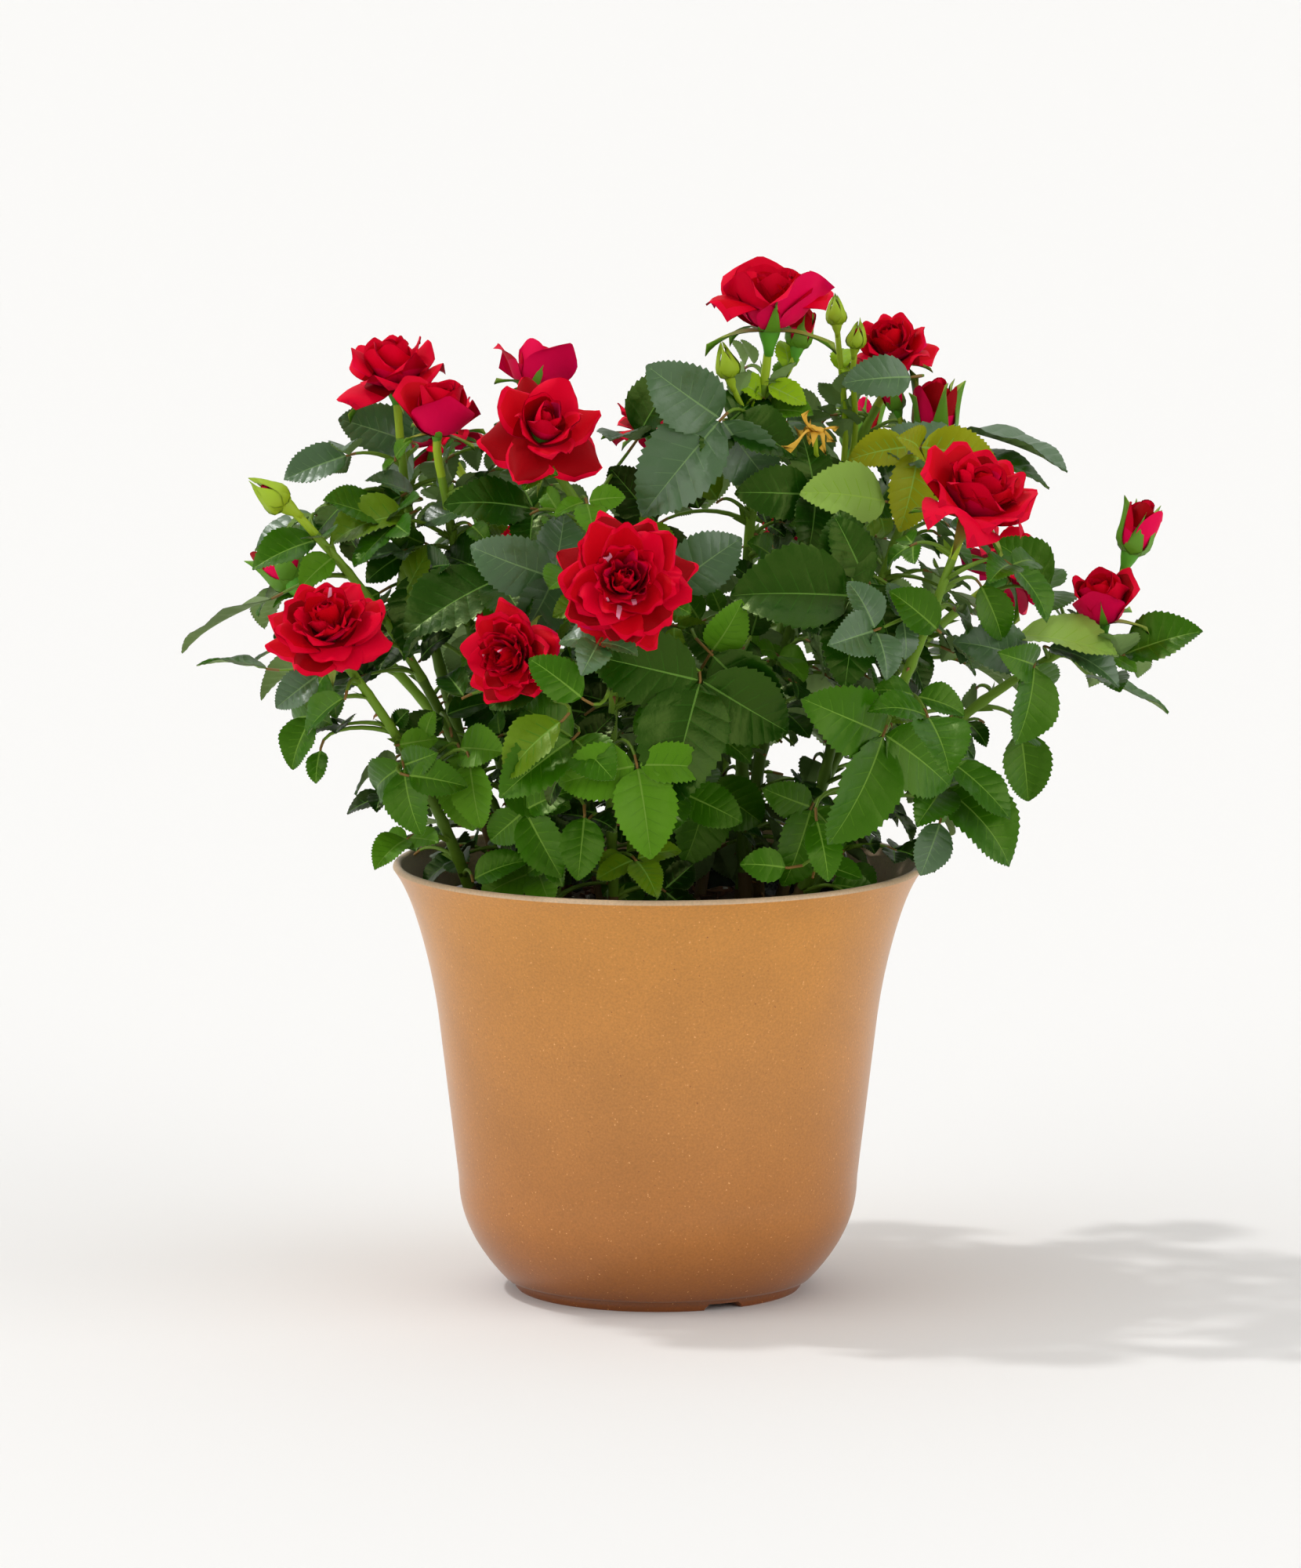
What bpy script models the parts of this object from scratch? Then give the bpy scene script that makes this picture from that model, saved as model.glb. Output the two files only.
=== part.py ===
"""A potted miniature rose bush in flower.

A flared pot holds a thin black liner filled with potting mix. Canes rise from flat cuts on the
mix, each one a single tapering limb, and each ends where it enters its own spray: a mass of
stem, side shoots, compound leaves, buds and blooms joined into one solid.

Metres, +Z up. The origin is the middle of the pot's underside, +X is to the right and +Y to
the back. The tables give places and sizes in millimetres, and angles in degrees: a heading is
counted anticlockwise from +X seen from above, and a pitch is counted up from the horizontal.
"""

import math
import random

import bpy
from mathutils import Vector
from mathutils.bvhtree import BVHTree

MM = 0.001
UP = Vector((0.0, 0.0, 1.0))
CLEARANCE = 0.3 * MM

# The pot: a narrow foot ring, a round shoulder, a slight taper and a flared lip.
POT_HEIGHT = 125.7 * MM
POT_SEGMENTS = 40
RIM_RADIUS = 78.5 * MM
LIP_THICKNESS = 2.6 * MM
FOOT_RADIUS = 42.0 * MM
FOOT_HEIGHT = 3.4 * MM
SHOULDER_FOOT_RADIUS = 45.0 * MM
SHOULDER_RADIUS = 58.4 * MM
SHOULDER_HEIGHT = 32.5 * MM
SHOULDER_STEPS = (0.0, 0.16, 0.37, 0.64, 1.0)
SHOULDER_ROUNDNESS = 2.1
TAPER_RADIUS = 64.0 * MM
TAPER_HEIGHT = 79.0 * MM
FLARE_SHARES = (0.35, 0.65, 0.85, 0.96)
FLARE_SWEEP = 0.75
FLARE_SWEEP_POWER = 2
LIP_CURL_POWER = 10
FLOOR_HEIGHT = 7.0 * MM
FLOOR_RADIUS = 45.9 * MM
RECESS_DEPTH = 2.0 * MM
RECESS_RADIUS = 35.0 * MM
HUB_RADIUS = 10.0 * MM
NOTCH_HEADINGS = (-62.0, 58.0, 178.0)
NOTCH_WIDTH = 11.0 * MM
NOTCH_HEIGHT = 1.8 * MM
NOTCH_LENGTH = 15.0 * MM

# The liner and the potting mix that fills it.
LINER_SEGMENTS = 32
LINER_HEIGHT = 114.5 * MM
LINER_RIM_RADIUS = 66.0 * MM
LINER_FOOT_RADIUS = 45.2 * MM
LINER_WALL = 1.0 * MM
LINER_BEAD = 1.6 * MM
LINER_BEAD_HEIGHT = 3.0 * MM
MIX_HEIGHT = 108.0 * MM

# Canes and stalks. The joint gap is wider than the clearance, as the faces lie at a slant.
CANE_SIDES = 5
CANE_RINGS = 5
CANE_TIP_RADIUS = 1.25 * MM
JOINT_GAP = 1.3 * CLEARANCE
STEM_SIDES = 4
STEM_RINGS = 4
FLOWER_SEAT = 1.5 * MM
SHOOT_RADIUS = 1.0 * MM
STALK_SIDES = 3
STALK_RADIUS = 0.8 * MM
STALK_KNEE = 0.55
ROOT_REACH = 0.9 * MM

# Leaflets: their blades, and the two pairs beside the end one, nearest pair first.
LEAFLET_WIDTH_SHARE = 0.76
LEAFLET_WIDEST = 0.46
LEAFLET_THICKNESS = 0.7 * MM
LEAFLET_FOLD = 0.06
PAIR_SIZES = (0.88, 0.68)
PAIR_SIZE_SPREAD = (0.92, 1.06)
PAIR_ANGLES = (82.0, 78.0)
PAIR_ANGLE_SPREAD = 6.0
PAIR_TILTS = (2.0, 20.0)
SECOND_PAIR_ROOM = 0.45

# Leaves by rule, up the stem of each spray. The shares are of the cane's length, and the
# leans, rise and droop are set against a level arm of length 1.
LEAF_SPACING = 13.8 * MM
LEAF_SHARES = (0.05, 0.93)
LEAF_SIZES = (23.0, 31.0)
LEAF_SHRINK = 0.3
LEAF_TURN = 144.0
LEAF_TURN_SPREAD = 15.0
LEAF_LEAN_OUT = 0.55
LEAF_LEAN_UP = 0.7
LEAF_ARM = 1.15
LEAF_RISE = (-0.1, 0.35)
LEAF_DROOP = (0.1, 0.9)
LEAF_UPRIGHT = (0.3, 0.8)
OUTLINE_LEAF_START = 0.04
OUTLINE_LEAF_DROP = 0.35

# Blooms and buds, as shares of their width.
OPEN_FROM = 0.2
BLOOM_LOBES = 5
BLOOM_HIP = 0.13
BLOOM_RISE = (0.78, 0.42)
BLOOM_WIDEST_AT = (0.80, 0.22)
BLOOM_TOP = 0.97
BUD_SIDES = 6
BUD_HEIGHT = 1.55
BUD_SHAPE = ((0.16, 0.0), (0.30, 0.12), (0.48, 0.50), (0.40, 0.85))
BUD_TOP = 1.1

# The front canes, left to right. Each row gives the foot on the mix (x, y), a point that the
# cane bends through and the tip that its flower sits on (x, y, z), the radius at the foot, the
# share of the length at which it enters its spray, and its flower: heading, pitch, width and
# opening, from 0, a tight bud, to 1, fully open.
FRONT_CANES = (
    ("left_low", (-51, -14), (-73, -33, 163), (-93, -46, 194), 1.9, 0.36, (-100, 50, 37, 0.95)),
    ("left_reaching", (-44, 8), (-76, -16, 194), (-106, -25, 232), 1.8, 0.36, (180, 35, 11, 0.0)),
    ("left_tall", (-38, 14), (-66, 13, 190), (-76, 10, 260), 2.0, 0.34, (-110, 75, 31, 0.6)),
    ("left_front", (-34, -4), (-57, -6, 208), (-64, -14, 250), 1.9, 0.34, (-60, 78, 21, 0.3)),
    ("left_inner", (-15, 8), (-34, 14, 212), (-38, 8, 261), 1.9, 0.34, (60, 55, 23, 0.45)),
    ("middle_low", (-30, -26), (-35, -42, 163), (-38, -54, 193), 1.6, 0.32, (-120, 5, 32, 0.9)),
    ("middle_front", (-12, -30), (-13, -50, 175), (-10, -64, 213), 1.7, 0.32, (-88, 20, 41, 0.95)),
    ("middle_tall", (-8, -16), (-13, -26, 212), (-34, -28, 250), 1.8, 0.32, (-80, 40, 37, 0.8)),
    ("right_tallest", (26, 6), (26, 0, 213), (32, -10, 278), 2.2, 0.32, (-75, 82, 38, 0.62)),
    ("right_inner", (24, 16), (44, 20, 208), (69, 19, 268), 2.0, 0.34, (-110, 60, 25, 0.6)),
    ("right_back", (40, 2), (62, 18, 196), (80, 8, 246), 1.9, 0.34, (0, 85, 14, 0.15)),
    ("right_front", (35, -20), (71, -44, 186), (87, -50, 229), 2.0, 0.32, (-50, 45, 37, 0.65)),
    ("right_reaching", (40, -8), (85, -18, 168), (129, -20, 196), 1.9, 0.34, (-120, 60, 20, 0.4)),
)

# Side shoots that carry a bud: the cane, the share at which the shoot leaves it, the place of
# the bud's foot, and the bud's heading, pitch, width and opening.
BUD_SHOOTS = (
    ("right_reaching", 0.86, (136, -12, 216), (0, 70, 12, 0.12)),
    ("right_tallest", 0.84, (40, -2, 275), (40, 75, 9, 0.1)),
    ("right_tallest", 0.80, (21, -16, 268), (200, 75, 8, 0.0)),
    ("right_inner", 0.74, (52, 10, 281), (120, 82, 7, 0.0)),
    ("right_inner", 0.80, (57, 4, 275), (-60, 75, 7, 0.0)),
    ("right_back", 0.88, (70, 12, 256), (180, 75, 7, 0.1)),
)

# Leaves that give the front its outline: the cane, where the leaflets meet, the end leaflet's
# tip, the number of leaflets, and how far the blades turn from level (0) to upright (1).
OUTLINE_LEAVES = (
    ("left_low", (-73, -44, 160), (-68, -52, 141), 5, 0.9),
    ("left_low", (-99, -42, 174), (-106, -47, 160), 5, 0.9),
    ("left_low", (-112, -30, 186), (-133, -24, 189), 3, 0.1),
    ("left_low", (-57, -38, 164), (-54, -44, 141), 3, 0.8),
    ("left_reaching", (-111, -15, 205), (-139, -10, 190), 3, 0.2),
    ("left_reaching", (-98, -16, 222), (-117, -22, 214), 5, 0.6),
    ("left_tall", (-90, 8, 244), (-109, 4, 238), 5, 0.6),
    ("left_tall", (-72, 24, 246), (-94, 22, 252), 5, 0.7),
    ("left_tall", (-66, -14, 213), (-74, -24, 190), 3, 0.6),
    ("left_tall", (-78, -8, 226), (-97, -16, 233), 3, 0.6),
    ("left_front", (-36, -26, 232), (-61, -34, 235), 5, 0.7),
    ("left_front", (-46, -30, 212), (-73, -40, 197), 3, 0.7),
    ("middle_tall", (-30, -42, 214), (-52, -50, 224), 3, 0.7),
    ("middle_low", (-24, -68, 171), (-45, -78, 157), 5, 0.6),
    ("middle_low", (-38, -52, 148), (-28, -60, 130), 3, 0.8),
    ("middle_front", (-6, -74, 164), (-2, -80, 138), 5, 0.9),
    ("middle_front", (12, -64, 187), (3, -76, 153), 5, 0.8),
    ("middle_tall", (-6, 4, 249), (8, 0, 270), 3, 0.8),
    ("right_tallest", (18, -28, 258), (-4, -40, 232), 5, 0.8),
    ("right_tallest", (20, -20, 256), (40, -26, 247), 3, 0.8),
    ("right_tallest", (22, -44, 190), (10, -50, 172), 5, 0.8),
    ("right_tallest", (14, -24, 152), (7, -34, 129), 3, 0.9),
    ("right_inner", (56, -22, 238), (35, -32, 235), 3, 0.8),
    ("right_inner", (45, -26, 236), (23, -34, 238), 5, 0.8),
    ("right_inner", (76, 2, 268), (55, -4, 274), 3, 0.5),
    ("right_back", (75, -18, 248), (71, -28, 226), 3, 0.8),
    ("right_back", (88, 0, 251), (119, -10, 242), 5, 0.8),
    ("right_front", (56, -54, 210), (21, -60, 212), 5, 0.8),
    ("right_front", (64, -66, 172), (50, -78, 142), 5, 0.9),
    ("right_front", (44, -38, 147), (38, -48, 126), 3, 0.9),
    ("right_reaching", (82, -40, 153), (103, -48, 134), 5, 0.6),
    ("right_reaching", (112, -36, 188), (107, -44, 163), 5, 0.9),
    ("right_reaching", (134, -22, 189), (156, -28, 198), 5, 0.6),
    ("right_reaching", (128, -4, 180), (151, 2, 174), 5, 0.1),
    ("right_reaching", (112, -26, 196), (135, -34, 188), 3, 0.6),
    ("right_reaching", (114, -4, 206), (100, -10, 222), 3, 0.8),
    ("right_reaching", (105, -10, 166), (109, -12, 145), 3, 0.5),
)

# The canes round the back, spread evenly on an arc of headings, alternately low and far
# reaching and tall and near. Each flower is a pitch, a width and an opening.
BACK_ARC = (30.0, 152.0)
BACK_FOOT_RADIUS = 46.0
BACK_FOOT_SPREAD = (0.8, 1.05)
BACK_REACH = (118.0, 92.0)
BACK_HEIGHTS = (196.0, 234.0)
BACK_SPREAD = 5.0
BACK_BEND_SHARE = 0.62
BACK_RADIUS = 1.9
BACK_ENTERS = 0.34
BACK_FLOWER_TURN = 30.0
BACK_FLOWERS = (
    (40, 34, 0.85),
    (70, 12, 0.1),
    (35, 36, 0.7),
    (75, 24, 0.45),
    (30, 35, 0.9),
    (60, 30, 0.6),
    (40, 14, 0.15),
)


def blank_scene():
    """Remove every object, so that the script also runs in Blender's own start-up scene."""
    for thing in list(bpy.data.objects):
        bpy.data.objects.remove(thing, do_unlink=True)


def finish(name, colour, roughness):
    """A Principled material."""
    material = bpy.data.materials.new(name)
    material.use_nodes = True
    shader = material.node_tree.nodes["Principled BSDF"]
    shader.inputs["Base Color"].default_value = (*colour, 1.0)
    shader.inputs["Roughness"].default_value = roughness
    shader.inputs["Metallic"].default_value = 0.0
    return material


def solid(name, shape, material):
    """An object made from a list of points and a list of faces."""
    points, faces = shape
    mesh = bpy.data.meshes.new(name)
    mesh.from_pydata([tuple(p) for p in points], [], faces)
    mesh.materials.append(material)
    thing = bpy.data.objects.new(name, mesh)
    bpy.context.scene.collection.objects.link(thing)
    return thing


def millimetres(place):
    """A place from the tables, in metres."""
    return Vector(place) * MM


def facing(heading, pitch):
    """The unit vector with this heading and pitch in degrees."""
    turn = math.radians(heading)
    rise = math.radians(pitch)
    flat = math.cos(rise)
    return Vector((math.cos(turn) * flat, math.sin(turn) * flat, math.sin(rise)))


def mix(a, b, share):
    return a + (b - a) * share


def skin(rings, first_pole=None, last_pole=None):
    """A closed shape through rings of equal count, ended by a point or by a flat face."""
    count = len(rings[0])
    points = [p for ring in rings for p in ring]
    faces = []
    for low in range(len(rings) - 1):
        for side in range(count):
            after = (side + 1) % count
            here = low * count
            faces.append((here + side, here + after, here + count + after, here + count + side))
    last = (len(rings) - 1) * count
    if first_pole is None:
        faces.append(tuple(reversed(range(count))))
    else:
        points.append(first_pole)
        pole = len(points) - 1
        faces.extend((pole, (side + 1) % count, side) for side in range(count))
    if last_pole is None:
        faces.append(tuple(last + side for side in range(count)))
    else:
        points.append(last_pole)
        pole = len(points) - 1
        faces.extend((pole, last + side, last + (side + 1) % count) for side in range(count))
    return points, faces


def lathe(profile, segments):
    """Turn a profile of (radius, height) about Z. Its two ends lie on the axis."""
    rings = []
    for radius, height in profile[1:-1]:
        ring = []
        for step in range(segments):
            angle = 2.0 * math.pi * step / segments
            ring.append(Vector((radius * math.cos(angle), radius * math.sin(angle), height)))
        rings.append(ring)
    return skin(rings, Vector((0, 0, profile[0][1])), Vector((0, 0, profile[-1][1])))


def pot_outer_radius(height):
    """The pot's outer radius above the shoulder: a straight taper, then the flare."""
    taper = (TAPER_RADIUS - SHOULDER_RADIUS) / (TAPER_HEIGHT - SHOULDER_HEIGHT)
    radius = SHOULDER_RADIUS + taper * (height - SHOULDER_HEIGHT)
    if height > TAPER_HEIGHT:
        share = (height - TAPER_HEIGHT) / (POT_HEIGHT - TAPER_HEIGHT)
        spread = RIM_RADIUS - (SHOULDER_RADIUS + taper * (POT_HEIGHT - SHOULDER_HEIGHT))
        sweep = FLARE_SWEEP * share**FLARE_SWEEP_POWER
        radius += spread * (sweep + (1.0 - FLARE_SWEEP) * share**LIP_CURL_POWER)
    return radius


def pot_profile():
    """The pot's section, from the middle of the underside out, up, over and down inside."""
    outer = [(0.0, 0.0), (HUB_RADIUS, 0.0), (HUB_RADIUS + RECESS_DEPTH, RECESS_DEPTH)]
    outer += [(RECESS_RADIUS - RECESS_DEPTH, RECESS_DEPTH), (RECESS_RADIUS, 0.0)]
    outer += [(FOOT_RADIUS, 0.0), (FOOT_RADIUS, FOOT_HEIGHT)]
    for share in SHOULDER_STEPS:
        fullness = 1.0 - (1.0 - share) ** SHOULDER_ROUNDNESS
        radius = mix(SHOULDER_FOOT_RADIUS, SHOULDER_RADIUS, fullness)
        outer.append((radius, mix(FOOT_HEIGHT, SHOULDER_HEIGHT, share)))
    heights = [TAPER_HEIGHT]
    heights += [mix(TAPER_HEIGHT, POT_HEIGHT, share) for share in FLARE_SHARES]
    outer += [(pot_outer_radius(height), height) for height in heights]
    outer.append((RIM_RADIUS, POT_HEIGHT))
    inner = [(RIM_RADIUS - LIP_THICKNESS, POT_HEIGHT)]
    for share in FLARE_SHARES[2::-1]:
        height = mix(TAPER_HEIGHT, POT_HEIGHT, share)
        inner.append((pot_outer_radius(height) - LIP_THICKNESS, height))
    for height in (TAPER_HEIGHT, SHOULDER_HEIGHT):
        inner.append((pot_outer_radius(height) - LIP_THICKNESS, height))
    inner += [(FLOOR_RADIUS, FLOOR_HEIGHT), (0.0, FLOOR_HEIGHT)]
    return outer + inner


def build_pot():
    """The pot, with shallow notches cut across its foot ring."""
    clay = finish("terracotta_plastic", (0.50, 0.22, 0.07), 0.45)
    pot = solid("pot", lathe(pot_profile(), POT_SEGMENTS), clay)
    middle = (RECESS_RADIUS + FOOT_RADIUS) / 2
    for number, heading in enumerate(NOTCH_HEADINGS, 1):
        bpy.ops.mesh.primitive_cube_add(size=1.0)
        cutter = bpy.context.object
        cutter.name = f"notch_cutter_{number}"
        cutter.scale = (NOTCH_LENGTH, NOTCH_WIDTH, 2 * NOTCH_HEIGHT)
        cutter.location = facing(heading, 0) * middle
        cutter.rotation_euler.z = math.radians(heading)
        cutter.hide_render = True
        cutter.display_type = "WIRE"
        cut = pot.modifiers.new("notch", "BOOLEAN")
        cut.operation = "DIFFERENCE"
        cut.solver = "EXACT"
        cut.object = cutter


def liner_profile():
    """The section of the liner, which stands on the pot's floor."""
    foot = FLOOR_HEIGHT + CLEARANCE
    bead_foot = LINER_HEIGHT - LINER_BEAD_HEIGHT
    outer_top = LINER_RIM_RADIUS - LINER_BEAD
    outer = [(0.0, foot), (LINER_FOOT_RADIUS, foot), (outer_top, bead_foot)]
    bead = [(LINER_RIM_RADIUS, bead_foot), (LINER_RIM_RADIUS, LINER_HEIGHT)]
    inner = [(outer_top - LINER_WALL, LINER_HEIGHT)]
    inner += [(LINER_FOOT_RADIUS - LINER_WALL, foot + LINER_WALL), (0.0, foot + LINER_WALL)]
    return outer + bead + inner


def mix_profile():
    """The section of the potting mix, which fills the liner just clear of its wall."""
    top, foot = liner_profile()[-3:-1]
    low = foot[1] + CLEARANCE
    profile = [(0.0, low)]
    for height in (low, MIX_HEIGHT):
        share = (height - foot[1]) / (top[1] - foot[1])
        profile.append((mix(foot[0], top[0], share) - 1.5 * CLEARANCE, height))
    profile.append((0.0, MIX_HEIGHT))
    return profile


class Cane:
    """One cane: the curve from its foot through its bend to its tip, and its flower."""

    def __init__(self, name, foot, bend, tip, radius, enters, flower):
        self.name = name
        self.foot = Vector((foot[0] * MM, foot[1] * MM, MIX_HEIGHT + CLEARANCE))
        self.bend = millimetres(bend)
        self.tip = millimetres(tip)
        self.radius = radius * MM
        self.enters = enters
        self.flower = flower
        lower = (self.bend - self.foot).length
        upper = (self.tip - self.bend).length
        self.middle = lower / (lower + upper)
        self.length = lower + upper

    def point(self, share):
        """The point on the parabola through foot, bend and tip."""
        m = self.middle
        near_foot = (share - m) * (share - 1.0) / m
        near_bend = share * (share - 1.0) / (m * (m - 1.0))
        near_tip = share * (share - m) / (1.0 - m)
        return self.foot * near_foot + self.bend * near_bend + self.tip * near_tip

    def direction(self, share):
        step = 0.01
        return (self.point(share + step) - self.point(share - step)).normalized()

    def thickness(self, share):
        return mix(self.radius, CANE_TIP_RADIUS, share)

    def nearest_share(self, place, lowest):
        """The share of the part above lowest that comes nearest to a place."""
        steps = 40
        shares = [mix(lowest, 1.0, step / steps) for step in range(steps + 1)]
        return min(shares, key=lambda share: (self.point(share) - place).length)


def back_canes():
    """Canes on an arc round the back, with flowers of every age."""
    canes = []
    for index, (pitch, width, opening) in enumerate(BACK_FLOWERS):
        draw = random.Random(f"back cane {index}")
        heading = mix(*BACK_ARC, index / (len(BACK_FLOWERS) - 1))
        reach = BACK_REACH[index % 2] + draw.uniform(-BACK_SPREAD, BACK_SPREAD)
        height = BACK_HEIGHTS[index % 2] + draw.uniform(-BACK_SPREAD, BACK_SPREAD)
        outward = facing(heading, 0)
        foot = outward * BACK_FOOT_RADIUS * draw.uniform(*BACK_FOOT_SPREAD)
        bend = outward * reach * BACK_BEND_SHARE
        bend.z = mix(MIX_HEIGHT / MM, height, BACK_BEND_SHARE)
        tip = outward * reach + UP * height
        turn = draw.uniform(-BACK_FLOWER_TURN, BACK_FLOWER_TURN)
        flower = (heading + turn, pitch, width, opening)
        name = f"back_{index + 1}"
        canes.append(Cane(name, foot[:2], bend, tip, BACK_RADIUS, BACK_ENTERS, flower))
    return canes


def frame_round(direction):
    """Two unit vectors that make a right-handed frame with a direction."""
    side = direction.cross(UP)
    if side.length < 0.05:
        side = direction.cross(Vector((1.0, 0.0, 0.0)))
    side.normalize()
    return side, direction.cross(side).normalized()


def tube(path, radii, sides, level_start=False):
    """A tapering limb along a path, with flat ends. A level start is cut at one height."""
    rings = []
    side = None
    for index, middle in enumerate(path):
        before = path[max(index - 1, 0)]
        after = path[min(index + 1, len(path) - 1)]
        along = (after - before).normalized()
        if side is None:
            side = frame_round(along)[0]
        side = (side - along * side.dot(along)).normalized()
        over = along.cross(side)
        ring = []
        for corner in range(sides):
            angle = 2.0 * math.pi * corner / sides
            spoke = side * math.cos(angle) + over * math.sin(angle)
            point = middle + spoke * radii[index]
            if level_start and index == 0:
                point -= along * ((point.z - middle.z) / along.z)
            ring.append(point)
        rings.append(ring)
    return skin(rings)


def limb(cane):
    """The bare part of a cane, from its flat foot to where it enters its spray."""
    shares = [cane.enters * step / (CANE_RINGS - 1) for step in range(CANE_RINGS)]
    path = [cane.point(share) for share in shares]
    radii = [cane.thickness(share) for share in shares]
    return tube(path, radii, CANE_SIDES, level_start=True)


def spray_stem(cane):
    """The rest of the cane, inside its spray, from just clear of the limb to the flower."""
    start = cane.enters + JOINT_GAP / cane.length
    shares = [mix(start, 1.0, step / (STEM_RINGS - 1)) for step in range(STEM_RINGS)]
    path = [cane.point(share) for share in shares]
    path[-1] = path[-1] + cane.direction(1.0) * FLOWER_SEAT
    return tube(path, [cane.thickness(share) for share in shares], STEM_SIDES)


def curve_point(start, leaving, end, arrival, t):
    """A point on the smooth curve that leaves along one direction and arrives along another."""
    reach = (end - start).length / 3.0
    first = start + leaving * reach
    second = end - arrival * reach
    s = 1.0 - t
    return start * s**3 + first * 3 * s * s * t + second * 3 * s * t * t + end * t**3


def shoot(start, leaving, end, arrival):
    """The stalk of a side bud, from the stem to inside the bud's foot."""
    path = [curve_point(start, leaving, end, arrival, t) for t in (0.0, 0.33, 0.67, 1.0)]
    return tube(path, [SHOOT_RADIUS] * len(path), STEM_SIDES)


def blade_corners(base, along, normal, length, grow=0.0):
    """A leaflet's right corner, tip, left corner and the middle of its folded blade."""
    left = normal.cross(along).normalized() * (length * LEAFLET_WIDTH_SHARE / 2 + grow)
    widest = base + along * length * LEAFLET_WIDEST
    middle = widest - normal * length * LEAFLET_FOLD
    return widest - left, base + along * (length + grow), widest + left, middle, normal


def blade_probe(base, along, normal, length):
    """A blade with clearance all round it, for testing whether it touches anything."""
    corners = blade_corners(base, along, normal, length, CLEARANCE)
    right, tip, left, middle, up = corners
    lift = up * (LEAFLET_THICKNESS / 2 + CLEARANCE)
    points = [base, right, tip, left, middle + lift, middle - lift]
    faces = [(i, (i + 1) % 4, 4) for i in range(4)]
    faces += [((i + 1) % 4, i, 5) for i in range(4)]
    return points, faces


def turned(direction, axis, degrees):
    """A direction turned about an axis."""
    angle = math.radians(degrees)
    sideways = axis.cross(direction)
    return (direction * math.cos(angle) + sideways * math.sin(angle)).normalized()


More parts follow.
